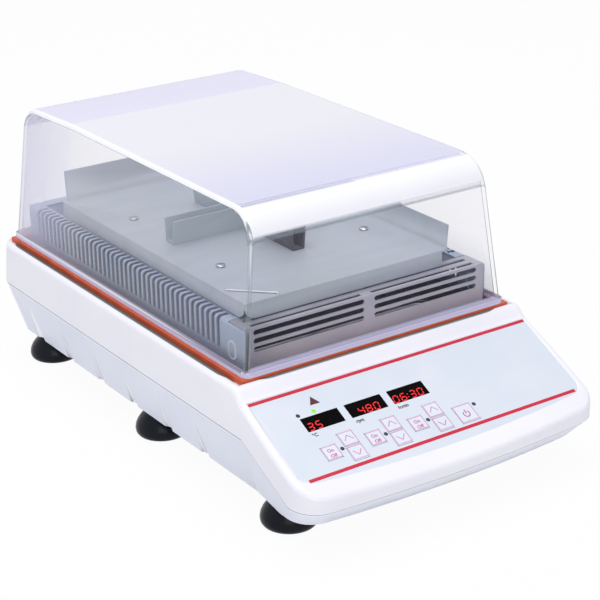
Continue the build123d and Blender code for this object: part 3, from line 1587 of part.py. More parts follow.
with BuildPart() as power_board:
    board_low = chassis_top_z + board_standoff
    board_top = board_low + board_thickness
    board_x0 = board_rear_x - board_rear_width / 2
    board_x1 = board_rear_x + board_rear_width / 2
    board_y0 = board_rear_y - board_rear_length / 2
    board_y1 = board_rear_y + board_rear_length / 2
    block(board_x0, board_x1, board_y0, board_y1, board_low, board_top)
    for standoff_x in (board_x0 + standoff_inset, board_x1 - standoff_inset):
        for standoff_y in (board_y0 + standoff_inset, board_y1 - standoff_inset):
            drum(standoff_x, standoff_y, chassis_top_z, board_low, standoff_radius)
    # transformer, heat sink and smoothing capacitor
    part_x = board_x0 + board_edge
    part_y = board_y0 + board_edge
    sink_x = board_x1 - board_edge
    part_end_x = part_x + transformer_width
    block(part_x, part_end_x, part_y, part_y + transformer_length, board_top, board_top + transformer_height)
    fins_top = board_top + heatsink_height
    block(sink_x - heatsink_width, sink_x, part_y, part_y + heatsink_length, board_top, fins_top)
    can_x = part_x + transformer_width / 2
    can_y = board_y1 - board_edge - capacitor_radius
    drum(can_x, can_y, board_top, board_top + capacitor_height, capacitor_radius)
save(power_board, "power_board")

with BuildPart() as housing_screws:
    for screw_x, screw_y in joint_places:
        drum(screw_x, screw_y, underside_z, underside_z + joint_screw_length, joint_screw_radius)
        drum(screw_x, screw_y, underside_z - joint_screw_head_height, underside_z, joint_screw_head)
save(housing_screws, "housing_screws")
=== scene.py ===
# %% [markdown]
# # An incubated benchtop shaker
#
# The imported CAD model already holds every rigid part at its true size. This lesson dresses it: it gives the
# parts
# their finishes, adds the printed and moulded detail, and sets the camera and the soft studio light.

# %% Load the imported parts
import bpy
import json
import math
from mathutils import Matrix, Vector

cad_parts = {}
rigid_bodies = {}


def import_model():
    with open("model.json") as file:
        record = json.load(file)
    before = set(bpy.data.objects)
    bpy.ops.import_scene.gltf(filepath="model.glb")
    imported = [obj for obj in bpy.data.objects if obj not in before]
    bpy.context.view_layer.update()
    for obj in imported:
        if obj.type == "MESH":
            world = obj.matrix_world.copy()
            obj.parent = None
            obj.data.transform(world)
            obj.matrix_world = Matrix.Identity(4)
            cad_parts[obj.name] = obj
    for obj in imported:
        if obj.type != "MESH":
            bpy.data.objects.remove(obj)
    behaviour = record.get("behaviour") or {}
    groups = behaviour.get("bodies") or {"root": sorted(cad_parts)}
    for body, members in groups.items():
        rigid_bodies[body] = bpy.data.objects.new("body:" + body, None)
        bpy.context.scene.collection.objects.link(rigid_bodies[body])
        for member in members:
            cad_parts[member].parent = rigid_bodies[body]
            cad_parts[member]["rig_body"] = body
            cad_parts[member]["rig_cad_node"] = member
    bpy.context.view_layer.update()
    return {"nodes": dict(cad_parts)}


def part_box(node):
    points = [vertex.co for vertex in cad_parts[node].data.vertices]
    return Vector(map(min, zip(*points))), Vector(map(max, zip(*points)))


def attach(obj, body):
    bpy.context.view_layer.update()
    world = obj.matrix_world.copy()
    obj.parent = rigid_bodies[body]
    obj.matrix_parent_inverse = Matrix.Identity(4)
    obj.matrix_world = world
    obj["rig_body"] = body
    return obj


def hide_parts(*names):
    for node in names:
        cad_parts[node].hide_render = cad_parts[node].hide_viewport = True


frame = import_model()
parts = frame["nodes"]

# %% [markdown]
# ## The camera
#
# The view is a three-quarter one from the front left, a little above the lid. A long lens from far away
# keeps the
# sides nearly parallel. The place and the turn are written as numbers, because they were fitted to straight
# edges of
# the object: the seam, the gasket's corners and the console's edges.

# %% Camera
MM = 0.001
turn, rise, roll = math.radians(-34.36), math.radians(22.45), math.radians(-0.93)
look = Vector((-math.sin(turn) * math.cos(rise), math.cos(turn) * math.cos(rise), -math.sin(rise)))
right = Vector((math.cos(turn), math.sin(turn), 0))
up = right.cross(look)
rolled_right = right * math.cos(roll) + up * math.sin(roll)
rolled_up = up * math.cos(roll) - right * math.sin(roll)

bpy.ops.object.select_all(action="DESELECT")
bpy.ops.object.camera_add(location=(-0.6960, -1.0505, 0.6055))
camera = bpy.context.object
camera.name = "studio_camera"
camera.data.lens = 104.72
camera.data.sensor_width = 36.0
camera.data.clip_end = 20.0
camera.matrix_world = Matrix.Translation(camera.location) @ Matrix(
    (rolled_right, rolled_up, -look)
).transposed().to_4x4()
bpy.context.scene.camera = camera
bpy.context.scene.view_settings.view_transform = "Standard"
print("camera looks along", [round(c, 3) for c in look])

# %% [markdown]
# ## Working as by hand
#
# Every new piece starts as a primitive that is shaped in edit mode. A few helpers keep the steps short: one
# clears
# the selection, one finishes a piece by applying its place, and one hands the finished piece to the body
# that it
# moves with.

# %% Helpers for pieces
def deselect():
    if bpy.context.object and bpy.context.object.mode != "OBJECT":
        bpy.ops.object.mode_set(mode="OBJECT")
    bpy.ops.object.select_all(action="DESELECT")


def pick(piece):
    deselect()
    piece.select_set(True)
    bpy.context.view_layer.objects.active = piece


def fix_place(piece, matrix=None):
    """Put a piece down by matrix and leave its object unturned at the origin."""
    if matrix is not None:
        piece.matrix_world = matrix @ piece.matrix_world
    pick(piece)
    bpy.ops.object.transform_apply(location=True, rotation=True, scale=True)
    return piece


def tidy_normals(piece):
    pick(piece)
    bpy.ops.object.mode_set(mode="EDIT")
    bpy.ops.mesh.select_all(action="SELECT")
    bpy.ops.mesh.remove_doubles(threshold=1e-6)
    bpy.ops.mesh.normals_make_consistent(inside=False)
    bpy.ops.object.mode_set(mode="OBJECT")
    return piece


def hand_over(piece, name, body, material, stands_for=()):
    """Name a finished piece, give it its finish and let it move with a body."""
    piece.name = name
    piece.data.name = name
    piece.data.materials.clear()
    piece.data.materials.append(material)
    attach(piece, body)
    if stands_for:
        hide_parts(*stands_for)
    return piece


def joined(pieces):
    deselect()
    for piece in pieces:
        piece.select_set(True)
    bpy.context.view_layer.objects.active = pieces[0]
    if len(pieces) > 1:
        bpy.ops.object.join()
    return bpy.context.object


# %% [markdown]
# ## Finishes
#
# A finish is never one flat colour. Each material mixes two close tints by a slow noise, breaks its gloss
# up with a
# finer noise, and has a very fine grain as bump. All of them read Object coordinates, so the pattern stays
# at its
# true scale in metres.

# %% Helpers for finishes
def tint(r, g, b):
    """A colour picked in 0 to 255 steps, as the linear values that a shader wants."""
    out = []
    for c in (r / 255, g / 255, b / 255):
        out.append(c / 12.92 if c <= 0.04045 else ((c + 0.055) / 1.055) ** 2.4)
    return (*out, 1.0)


def finish(name, light, dark, rough=(0.3, 0.4), patch=30.0, grain=900.0, bump=0.02, metal=0.0, stretch=(1, 1, 1)):
    material = bpy.data.materials.new(name)
    material.use_nodes = True
    nodes, links = material.node_tree.nodes, material.node_tree.links
    shader = nodes["Principled BSDF"]
    shader.inputs["Metallic"].default_value = metal
    place = nodes.new("ShaderNodeTexCoord")
    scale = nodes.new("ShaderNodeMapping")
    scale.inputs["Scale"].default_value = stretch
    links.new(place.outputs["Object"], scale.inputs["Vector"])
    clouds = nodes.new("ShaderNodeTexNoise")
    clouds.inputs["Scale"].default_value = patch
    clouds.inputs["Detail"].default_value = 4.0
    links.new(scale.outputs["Vector"], clouds.inputs["Vector"])
    tints = nodes.new("ShaderNodeValToRGB")
    tints.color_ramp.elements[0].position = 0.35
    tints.color_ramp.elements[0].color = dark
    tints.color_ramp.elements[1].position = 0.65
    tints.color_ramp.elements[1].color = light
    links.new(clouds.outputs["Fac"], tints.inputs["Fac"])
    links.new(tints.outputs["Color"], shader.inputs["Base Color"])
    fine = nodes.new("ShaderNodeTexNoise")
    fine.inputs["Scale"].default_value = grain
    fine.inputs["Detail"].default_value = 3.0
    links.new(scale.outputs["Vector"], fine.inputs["Vector"])
    gloss = nodes.new("ShaderNodeMapRange")
    gloss.inputs["To Min"].default_value = rough[0]
    gloss.inputs["To Max"].default_value = rough[1]
    links.new(fine.outputs["Fac"], gloss.inputs["Value"])
    links.new(gloss.outputs["Result"], shader.inputs["Roughness"])
    relief = nodes.new("ShaderNodeBump")
    relief.inputs["Strength"].default_value = bump
    relief.inputs["Distance"].default_value = 0.0002
    links.new(fine.outputs["Fac"], relief.inputs["Height"])
    links.new(relief.outputs["Normal"], shader.inputs["Normal"])
    return material


# %% [markdown]
# Some finishes change from place to place: painted shade at a seam, a groove or a slot, or a painted highlight. A
# recipe adds such a change to a
# material. It reads the place and the direction of the surface in the object's own axes and blends colours
# by them.

# %% Helper for finishes that change from place to place
class Recipe:
    def __init__(self, material):
        self.nodes, self.links = material.node_tree.nodes, material.node_tree.links
        self.shader = self.nodes["Principled BSDF"]
        where = self.nodes.new("ShaderNodeTexCoord")
        spot, lean = self.nodes.new("ShaderNodeSeparateXYZ"), self.nodes.new("ShaderNodeSeparateXYZ")
        self.links.new(where.outputs["Object"], spot.inputs["Vector"])
        self.links.new(where.outputs["Normal"], lean.inputs["Vector"])
        self.x, self.y, self.z = (spot.outputs[axis] for axis in "XYZ")
        self.nx, self.ny, self.nz = (lean.outputs[axis] for axis in "XYZ")

    def fill(self, socket, value):
        if isinstance(value, (int, float, tuple)):
            socket.default_value = value
        else:
            self.links.new(value, socket)

    def calc(self, operation, first, second=0.0):
        node = self.nodes.new("ShaderNodeMath")
        node.operation = operation
        self.fill(node.inputs[0], first)
        self.fill(node.inputs[1], second)
        return node.outputs["Value"]

    def step(self, value, start, end):
        """A smooth rise from 0 at the start to 1 at the end."""
        node = self.nodes.new("ShaderNodeMapRange")
        node.interpolation_type = "SMOOTHSTEP"
        self.fill(node.inputs["Value"], value)
        node.inputs["From Min"].default_value = start
        node.inputs["From Max"].default_value = end
        return node.outputs["Result"]

    def blend(self, share, first, second):
        node = self.nodes.new("ShaderNodeMix")
        node.data_type = "RGBA"
        self.fill(node.inputs["Factor"], share)
        self.fill(node.inputs["A"], first)
        self.fill(node.inputs["B"], second)
        return node.outputs["Result"]

    def shade(self, share, colour):
        """Blend a colour over the finish where the share is high."""
        under = self.shader.inputs["Base Color"].links[0].from_socket
        self.links.new(self.blend(share, under, colour), self.shader.inputs["Base Color"])


# %% [markdown]
# The two casings are one off-white moulded plastic. The lower one faces the bench, and its copy of the plastic
# is painted cooler and darker as painted shade. The
# sheet-metal parts are painted or bare, and the rubber is nearly black.

# %% Plastics, rubber and metals
casing_white = finish("casing_white", tint(243, 242, 248), tint(239, 238, 246), (0.28, 0.38), 14, 1500, 0.03)
# painted shade: the lower casing is a cooler, darker copy of the same plastic, as it faces the bench
casing_lower_shaded = finish("casing_lower_shaded", tint(232, 235, 246), tint(226, 230, 243), (0.32, 0.42), 14, 1500, 0.03)
overlay_blue = finish("overlay_blue", tint(221, 227, 236), tint(216, 223, 233), (0.35, 0.42), 20, 2500, 0.02)
key_film = finish("key_film", tint(226, 231, 243), tint(221, 227, 240), (0.3, 0.4), 25, 2500, 0.02)
key_pink = finish("key_pink", tint(214, 118, 166), tint(206, 108, 158), (0.4, 0.5), 40, 2500, 0.02)
symbol_pink = finish("symbol_pink", tint(196, 52, 104), tint(186, 44, 96), (0.4, 0.5), 40, 2500, 0.02)
crimson = finish("crimson", tint(206, 4, 54), tint(198, 2, 48), (0.35, 0.45), 40, 2500, 0.02)
ink = finish("ink", tint(40, 40, 52), tint(30, 30, 40), (0.4, 0.5), 40, 2500, 0.02)
maroon = finish("maroon", tint(96, 24, 44), tint(80, 18, 36), (0.35, 0.45), 40, 2500, 0.02)
module_black = finish("module_black", tint(20, 12, 14), tint(14, 8, 10), (0.2, 0.3), 40, 900, 0.02)
silicone = finish("silicone", tint(214, 98, 60), tint(200, 84, 48), (0.5, 0.65), 60, 1400, 0.05)
foot_rubber = finish("foot_rubber", tint(16, 19, 31), tint(9, 11, 20), (0.2, 0.32), 60, 1200, 0.05)
foot_rubber.node_tree.nodes["Principled BSDF"].inputs["Specular IOR Level"].default_value = 0.16
tray_sheet = finish("tray_sheet", tint(180, 185, 195), tint(172, 181, 186), (0.34, 0.5), 9, 700, 0.05, 0.2, (1, 6, 1))
divider_sheet = finish("divider_sheet", tint(176, 186, 190), tint(166, 177, 183), (0.35, 0.5), 14, 700, 0.05)
grille_paint = finish("grille_paint", tint(180, 178, 188), tint(170, 169, 179), (0.4, 0.5), 16, 1200, 0.04)
louvre_paint = finish("louvre_paint", tint(164, 178, 196), tint(152, 168, 188), (0.4, 0.5), 16, 1200, 0.04)
# painted shade: the deck takes the dark blue of the shade beneath the tray
deck_shade_paint = finish("deck_shade_paint", tint(78, 86, 112), tint(66, 76, 102), (0.4, 0.5), 16, 1200, 0.04)
rod_steel = finish("rod_steel", tint(232, 236, 238), tint(220, 225, 228), (0.3, 0.4), 60, 1800, 0.02)
bright_steel = finish("bright_steel", tint(205, 206, 210), tint(186, 188, 194), (0.15, 0.3), 60, 1800, 0.03, 1.0)
cast_drive = finish("cast_drive", tint(120, 122, 126), tint(96, 98, 104), (0.35, 0.55), 40, 900, 0.08, 0.8)
dark_fitting = finish("dark_fitting", tint(32, 33, 38), tint(24, 25, 30), (0.35, 0.5), 40, 1500, 0.05)
board_resist = finish("board_resist", tint(24, 92, 52), tint(16, 76, 42), (0.25, 0.4), 50, 900, 0.04)
motor_paint = finish("motor_paint", tint(48, 50, 56), tint(36, 38, 44), (0.4, 0.5), 40, 1200, 0.04)
pane_dark = finish("pane_dark", tint(9, 6, 8), tint(6, 4, 6), (0.12, 0.2), 40, 900, 0.0)
pane_dark.node_tree.nodes["Principled BSDF"].inputs["Specular IOR Level"].default_value = 0.03
# painted shade: the chamber pan is dark so that the louvre slots in front of it read as shade
pan_shade_dark = finish("pan_shade_dark", tint(40, 45, 62), tint(32, 37, 54), (0.45, 0.6), 16, 1200, 0.04)
lamp_dark = finish("lamp_dark", tint(62, 66, 78), tint(44, 48, 60), (0.15, 0.25), 200, 900, 0.02)
digit_glow = finish("digit_glow", tint(150, 0, 4), tint(136, 0, 2), (0.3, 0.4), 400, 900, 0.0)
digit_glow.node_tree.nodes["Principled BSDF"].inputs["Emission Color"].default_value = tint(255, 10, 14)
digit_glow.node_tree.nodes["Principled BSDF"].inputs["Emission Strength"].default_value = 0.8
lamp_green = finish("lamp_green", tint(110, 225, 20), tint(96, 205, 12), (0.2, 0.3), 200, 900, 0.0)
lamp_green.node_tree.nodes["Principled BSDF"].inputs["Emission Color"].default_value = tint(120, 235, 20)
lamp_green.node_tree.nodes["Principled BSDF"].inputs["Emission Strength"].default_value = 0.6
print("finishes:", len(bpy.data.materials))

# %% [markdown]
# The seam of the two casings is painted: a fine grey line of painted shade in its gap, with a painted highlight
# beneath it. It runs level along the sides and
# follows the slope at the front. The pressed flutes get a painted highlight, so they read lighter than the wall, and
# the ledge round the seal gets painted grey shade
# in its groove.

# %% Painted shade and highlights at the seam, flutes and ledge
SEAM_Z, SEAM_LOW_Z, KNEE_Y, KNEE_SLOPE = 0.0645, 0.037, -0.150, 0.4986
GROOVE_HALF, GROOVE_HALF_LENGTH, GROOVE_MIDDLE_Y, GROOVE_ROUND = 0.1226, 0.1796, 0.0435, 0.027
lower_shaded = Recipe(casing_lower_shaded)
drop = lower_shaded.calc("MULTIPLY", lower_shaded.calc("MAXIMUM", lower_shaded.calc("SUBTRACT", KNEE_Y, lower_shaded.y), 0.0), KNEE_SLOPE)
seam = lower_shaded.calc("MAXIMUM", lower_shaded.calc("SUBTRACT", SEAM_Z, drop), SEAM_LOW_Z)
depth = lower_shaded.calc("SUBTRACT", seam, lower_shaded.z)
# painted highlight: the pressed flutes are lightened to white, as if they catch more light than the wall
flute_highlight = lower_shaded.calc("MULTIPLY", lower_shaded.step(lower_shaded.calc("ABSOLUTE", lower_shaded.ny), 0.02, 0.2),
                  lower_shaded.step(lower_shaded.calc("ABSOLUTE", lower_shaded.nx), 0.5, 0.7))
flute_highlight = lower_shaded.calc("MULTIPLY", flute_highlight, lower_shaded.step(lower_shaded.y, -0.12, -0.10))
lower_shaded.shade(flute_highlight, tint(255, 255, 255))
# painted highlight: a light band just beneath the seam
lower_shaded.shade(lower_shaded.calc("MULTIPLY", lower_shaded.step(depth, 0.0032, 0.0018), 0.7), tint(252, 253, 255))
# painted shade: the fine grey line of the seam's gap
lower_shaded.shade(lower_shaded.step(depth, 0.0013, 0.0009), tint(150, 160, 172))

white = Recipe(casing_white)
# painted shade: the ledge round the seal groove is greyed
over_x = white.calc("SUBTRACT", white.calc("ABSOLUTE", white.x), GROOVE_HALF - GROOVE_ROUND)
from_middle = white.calc("ABSOLUTE", white.calc("SUBTRACT", white.y, GROOVE_MIDDLE_Y))
over_y = white.calc("SUBTRACT", from_middle, GROOVE_HALF_LENGTH - GROOVE_ROUND)
far_x, far_y = white.calc("MAXIMUM", over_x, 0.0), white.calc("MAXIMUM", over_y, 0.0)
squares = white.calc("ADD", white.calc("MULTIPLY", far_x, far_x), white.calc("MULTIPLY", far_y, far_y))
far = white.calc("SQRT", squares)
inside = white.calc("MINIMUM", white.calc("MAXIMUM", over_x, over_y), 0.0)
beyond = white.calc("SUBTRACT", white.calc("ADD", far, inside), GROOVE_ROUND)
ledge_shade = white.calc("MULTIPLY", white.step(beyond, 0.0024, 0.0016), white.step(white.z, 0.0979, 0.0976))
ledge_shade = white.calc("MULTIPLY", ledge_shade, white.step(white.z, 0.090, 0.092))
white.shade(ledge_shade, tint(108, 118, 116))

# %% [markdown]
# The side panels of the chamber are wrapped sheets. Their louvre slots are painted as wide soft stripes of shade, the
# foot of each panel
# gets painted dark shade where it lies in the dark of the rim, and a painted highlight marks a pressed ring near the
# front. The divider's front arm gets painted shade, as do the left end of the grille and the sides of the rod.

# %% Painted shade and highlights: louvres, ring, divider, grille and rod
LOUVRE_FIRST_Y, LOUVRE_PITCH = -0.088, 0.0069
RING_Y, RING_Z, RING_RADIUS, RING_STRAIGHT = -0.106, 0.1095, 0.0045, 0.002
sides = Recipe(louvre_paint)
# painted shade: dark stripes at the slot pitch stand for the shadowed slots
count = sides.calc("DIVIDE", sides.calc("SUBTRACT", sides.y, LOUVRE_FIRST_Y), LOUVRE_PITCH)
apart = sides.calc("ABSOLUTE", sides.calc("SUBTRACT", count, sides.calc("ROUND", count)))
slot_shade = sides.calc("MULTIPLY", sides.step(apart, 0.36, 0.25), sides.step(sides.z, 0.1050, 0.1068))
slot_shade = sides.calc("MULTIPLY", slot_shade, sides.step(sides.y, -0.0916, -0.0906))
slot_shade = sides.calc("MULTIPLY", slot_shade, sides.step(sides.y, 0.1925, 0.1915))
slot_shade = sides.calc("MULTIPLY", slot_shade, sides.step(sides.calc("ABSOLUTE", sides.x), 0.0985, 0.0995))
sides.shade(slot_shade, tint(78, 90, 122))
# painted shade: the foot of each panel is darkened where the rim shades it
sides.shade(sides.step(sides.z, 0.1105, 0.1015), tint(82, 88, 124))
# painted highlight: a light ring round the pressed boss near the front
ring_y = sides.calc("SUBTRACT", sides.y, RING_Y)
ring_z = sides.calc("ABSOLUTE", sides.calc("SUBTRACT", sides.z, RING_Z))
ring_z = sides.calc("MAXIMUM", sides.calc("SUBTRACT", ring_z, RING_STRAIGHT), 0.0)
squares = sides.calc("ADD", sides.calc("MULTIPLY", ring_y, ring_y), sides.calc("MULTIPLY", ring_z, ring_z))
ring_highlight = sides.calc("SQRT", squares)
ring_highlight = sides.step(sides.calc("ABSOLUTE", sides.calc("SUBTRACT", ring_highlight, RING_RADIUS)), 0.0010, 0.0005)
sides.shade(ring_highlight, tint(206, 216, 230))

arms = Recipe(divider_sheet)
# painted shade: the divider's front arm is darkened
arms.shade(arms.step(arms.y, 0.022, -0.008), tint(88, 86, 94))
grille = Recipe(grille_paint)
# painted shade: the grille darkens towards its left end
grille.shade(grille.step(grille.x, -0.06, -0.108), tint(138, 140, 150))
rod = Recipe(rod_steel)
# painted shade: the rod darkens along its sides, where they turn away from view
edge = rod.nodes.new("ShaderNodeLayerWeight")
rod.shade(rod.step(edge.outputs["Facing"], 0.30, 0.55), tint(70, 82, 88))
print("places shaded on the casings, side panels, divider, grille and rod")


# %% [markdown]
# ## Clear plastic
#
# The lid is a thin shell of clear plastic, formed over a mould. A thin shell hardly bends what is seen
# through it, so it
# is a mix of a Transparent shader and a glossy white one. Layer Weight sets the share of each: face-on the
# wall is
# clear, at a glancing angle, as on the top under a studio lamp, it turns into a bright lilac white, and
# along its rolled
# edges a painted violet shade stands in for the dark bending of light in thick plastic. The top, the rolled edges and
# the upright corners also get painted highlights and painted shade. The rim at its foot is thicker, and milky from
# every side.

# %% Clear lid plastic
lid_clear = bpy.data.materials.new("lid_clear")
lid_clear.use_nodes = True
gloss = lid_clear.node_tree.nodes["Principled BSDF"]
gloss.inputs["Roughness"].default_value = 0.08
gloss.inputs["Specular IOR Level"].default_value = 0.35
lid = Recipe(lid_clear)
see = lid.nodes.new("ShaderNodeBsdfTransparent")
see.inputs["Color"].default_value = (0.985, 0.985, 0.992, 1)
glance = lid.nodes.new("ShaderNodeLayerWeight")
glance.inputs["Blend"].default_value = 0.5
facing = glance.outputs["Facing"]

# the top runs from lilac at the front to white further back, a painted change of the reflected light, and the drop
# behind the crease gets painted shade, a little darker
colour = lid.blend(lid.step(lid.y, -0.115, 0.05), tint(208, 207, 229), tint(224, 224, 230))
colour = lid.blend(lid.step(lid.y, 0.131, 0.137), colour, tint(214, 212, 233))
# painted shade: violet along the silhouettes, for the dark bending of light at the rolled edges
colour = lid.blend(lid.step(facing, 0.85, 0.97), colour, tint(150, 152, 196))
share = lid.calc("ADD", lid.calc("MULTIPLY", lid.step(facing, 0.40, 0.54), 0.08), 0.02)
share = lid.calc("ADD", share, lid.calc("MULTIPLY", lid.step(facing, 0.52, 0.61), 0.8))

# the rolled upper edge: a painted white highlight with a fine painted dark line beneath
slant = lid.calc("ABSOLUTE", lid.nz)
edge_highlight = lid.calc("MULTIPLY", lid.step(slant, 0.22, 0.36), lid.step(slant, 0.985, 0.93))
edge_shade_line = lid.calc("MULTIPLY", lid.step(slant, 0.135, 0.16), lid.step(slant, 0.27, 0.2))
colour = lid.blend(edge_highlight, colour, tint(246, 246, 250))
colour = lid.blend(edge_shade_line, colour, tint(132, 144, 146))
share = lid.calc("MAXIMUM", share, lid.calc("MULTIPLY", edge_highlight, 0.88))
share = lid.calc("MAXIMUM", share, lid.calc("MULTIPLY", edge_shade_line, 0.4))

# the rolled upright corners: two soft painted grey lines of shade with a painted white highlight between them, and
# painted dark shade low down
bend = lid.calc("MULTIPLY", lid.calc("ABSOLUTE", lid.calc("MULTIPLY", lid.nx, lid.ny)), 2.0)
corner_shade_line = lid.calc("MULTIPLY", lid.step(bend, 0.6, 0.7), lid.step(bend, 0.88, 0.78))
corner_highlight = lid.calc("MULTIPLY", lid.step(bend, 0.93, 0.975), lid.step(lid.z, 0.15, 0.19))
corner_low_shade = lid.calc("MULTIPLY", lid.step(bend, 0.8, 0.9), lid.step(lid.z, 0.136, 0.128))
colour = lid.blend(corner_shade_line, colour, tint(150, 162, 160))
colour = lid.blend(corner_highlight, colour, tint(250, 250, 252))
colour = lid.blend(corner_low_shade, colour, tint(70, 78, 80))
share = lid.calc("MAXIMUM", share, lid.calc("MULTIPLY", corner_shade_line, 0.3))
share = lid.calc("MAXIMUM", share, lid.calc("MULTIPLY", corner_highlight, 0.5))
share = lid.calc("MAXIMUM", share, lid.calc("MULTIPLY", corner_low_shade, 0.5))

# the rim at the foot is a thick lilac band, thinner along the sides
lifted = lid.calc("ADD", lid.z, lid.calc("MULTIPLY", lid.calc("ABSOLUTE", lid.nx), 0.0021))
foot = lid.step(lifted, 0.1052, 0.1038)
colour = lid.blend(foot, colour, tint(206, 205, 234))
share = lid.calc("MAXIMUM", share, lid.calc("MULTIPLY", foot, 0.7))

# light passes through to the chamber
path = lid.nodes.new("ShaderNodeLightPath")
passing = lid.calc("MAXIMUM", path.outputs["Is Shadow Ray"], path.outputs["Is Diffuse Ray"])
share = lid.calc("MULTIPLY", share, lid.calc("SUBTRACT", 1.0, lid.calc("MULTIPLY", passing, 0.9)))
lid.links.new(colour, gloss.inputs["Base Color"])
mix = lid.nodes.new("ShaderNodeMixShader")
lid.links.new(share, mix.inputs["Fac"])
lid.links.new(see.outputs["BSDF"], mix.inputs[1])
lid.links.new(gloss.outputs["BSDF"], mix.inputs[2])
lid.links.new(mix.outputs["Shader"], lid.nodes["Material Output"].inputs["Surface"])
print("clear plastic ready")


# %% [markdown]
# ## Smooth skins
#
# A CAD part arrives as loose triangles with flat shading. Where a part is curved, a copy of it is merged and
# smoothed by angle, and a weighted-normal modifier keeps its large flats flat. The copy then stands for the
# part,
# which stays hidden for the physics.

# %% Helper for smooth skins
def smooth_skin(node, material, angle=35.0, name=None):
    original = parts[node]
    body = original["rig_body"]
    pick(original)
    bpy.ops.object.duplicate()
    skin = bpy.context.object
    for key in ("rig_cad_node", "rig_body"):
        if key in skin:
            del skin[key]
    skin.parent = None
    skin.matrix_world = Matrix.Identity(4)
    pick(skin)
    bpy.ops.object.mode_set(mode="EDIT")
    bpy.ops.mesh.select_all(action="SELECT")
    bpy.ops.mesh.remove_doubles(threshold=1e-6)
    bpy.ops.object.mode_set(mode="OBJECT")
    bpy.ops.object.shade_smooth_by_angle(angle=math.radians(angle))
    bpy.ops.object.modifier_add(type="WEIGHTED_NORMAL")
    skin.modifiers[-1].keep_sharp = True
    bpy.ops.object.modifier_apply(modifier=skin.modifiers[-1].name)
    return hand_over(skin, name or node + "_skin", body, material, (node,))


# %% [markdown]
# ## Casings, lid, feet and gasket

# %% Skins of the outer parts
upper_skin = smooth_skin("upper_housing", casing_white, 40)
lower_skin = smooth_skin("lower_housing", casing_lower_shaded, 30)
lid_skin = smooth_skin("lid", lid_clear, 40)
print("outer skins made")

# %% [markdown]
# The seal is a flat orange strip in a groove of the upper casing. The strip is narrower than its groove, so
# a thin dark
# gap shows round it. The outer edges are pulled in, most along the sides.

# %% Seal strip
seal = smooth_skin("lid_gasket", silicone, 30)
SEAL_EDGES = (
    (0, -1, 0.1215, 0.0029), (0, 1, 0.1215, 0.0029), (1, -1, 0.135, 0.0003), (1, 1, 0.222, 0.0021),
)
for axis, sign, edge, pull in SEAL_EDGES:
    pick(seal)
    bpy.ops.object.mode_set(mode="EDIT")
    bpy.ops.mesh.select_mode(type="VERT")
    bpy.ops.mesh.select_all(action="DESELECT")
    bpy.ops.object.mode_set(mode="OBJECT")
    for vertex in seal.data.vertices:
        vertex.select = vertex.co[axis] * sign > edge
    bpy.ops.object.mode_set(mode="EDIT")
    step = [0.0, 0.0, 0.0]
    step[axis] = -sign * pull
    bpy.ops.transform.translate(value=step)
    bpy.ops.object.mode_set(mode="OBJECT")
print("seal strip:", [round(c, 4) for c in seal.dimensions])

# %% [markdown]
# Six rubber feet carry the shaker. Each is a domed cup with a soft bulge low down, hollow beneath, so that
# it grips the
# bench by suction. One is spun from its profile and copied to the other five places.

# %% Suction feet
FOOT_PROFILE = [
    (0.0, 3.4), (12.0, 2.6), (16.6, 1.2), (18.2, 0.0), (19.4, 0.4), (20.5, 2.0), (20.9, 4.4), (20.4, 7.6),
    (19.0, 10.8), (16.9, 13.8), (14.4, 16.6), (12.6, 18.6), (12.2, 20.9), (0.0, 20.9),
]
deselect()
bpy.ops.mesh.primitive_plane_add(size=MM)
dome = bpy.context.object
bpy.ops.object.mode_set(mode="EDIT")
bpy.ops.mesh.merge(type="CENTER")
bpy.ops.transform.translate(value=(0, 0, FOOT_PROFILE[0][1] * MM))
for (r0, z0), (r1, z1) in zip(FOOT_PROFILE, FOOT_PROFILE[1:]):
    bpy.ops.mesh.extrude_region_move(TRANSFORM_OT_translate={"value": ((r1 - r0) * MM, 0, (z1 - z0) * MM)})
bpy.ops.mesh.select_all(action="SELECT")
bpy.ops.mesh.spin(steps=56, angle=math.tau, center=(0, 0, 0), axis=(0, 0, 1))
bpy.ops.object.mode_set(mode="OBJECT")
tidy_normals(dome)
bpy.ops.object.shade_smooth_by_angle(angle=math.radians(38))
feet = []
for number in range(1, 7):
    low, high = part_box(f"foot_{number}")
    pick(dome)
    bpy.ops.object.duplicate()
    foot_piece = bpy.context.object
    fix_place(foot_piece, Matrix.Translation(((low[0] + high[0]) / 2, (low[1] + high[1]) / 2, 0)))
    feet.append(hand_over(foot_piece, f"suction_foot_{number}", "base", foot_rubber, (f"foot_{number}",)))
pick(dome)
bpy.ops.object.delete()
print("suction feet:", len(feet))

# %% Skins of the chamber and the tray
for node in ("louvre_panel_left", "louvre_panel_right", "rear_panel"):
    smooth_skin(node, louvre_paint, 30)
smooth_skin("front_grille", grille_paint, 30)
smooth_skin("deck_plate", deck_shade_paint, 30)
smooth_skin("tray", tray_sheet, 40)
smooth_skin("tray_divider", divider_sheet, 30)
for node in ("tray_screws", "divider_screws", "heater_element"):
    smooth_skin(node, bright_steel, 50)
smooth_skin("corner_rod", rod_steel, 50)
print("chamber skins made")

# %% [markdown]
# ## Drawing on the console
#
# The console is a printed film on the slope. Each printed line or sign is a very thin plate that starts as
# a plane, is
# stretched and extruded in edit mode, and is then laid on the slope. Across is measured from the middle,
# down from the
# upper edge of the film, both in millimetres.

# %% Helpers for printed signs
console = Matrix.Translation((0, -0.1478, 0.0878)) @ Matrix.Rotation(math.radians(26.5), 4, "X")
PRINT = 0.06


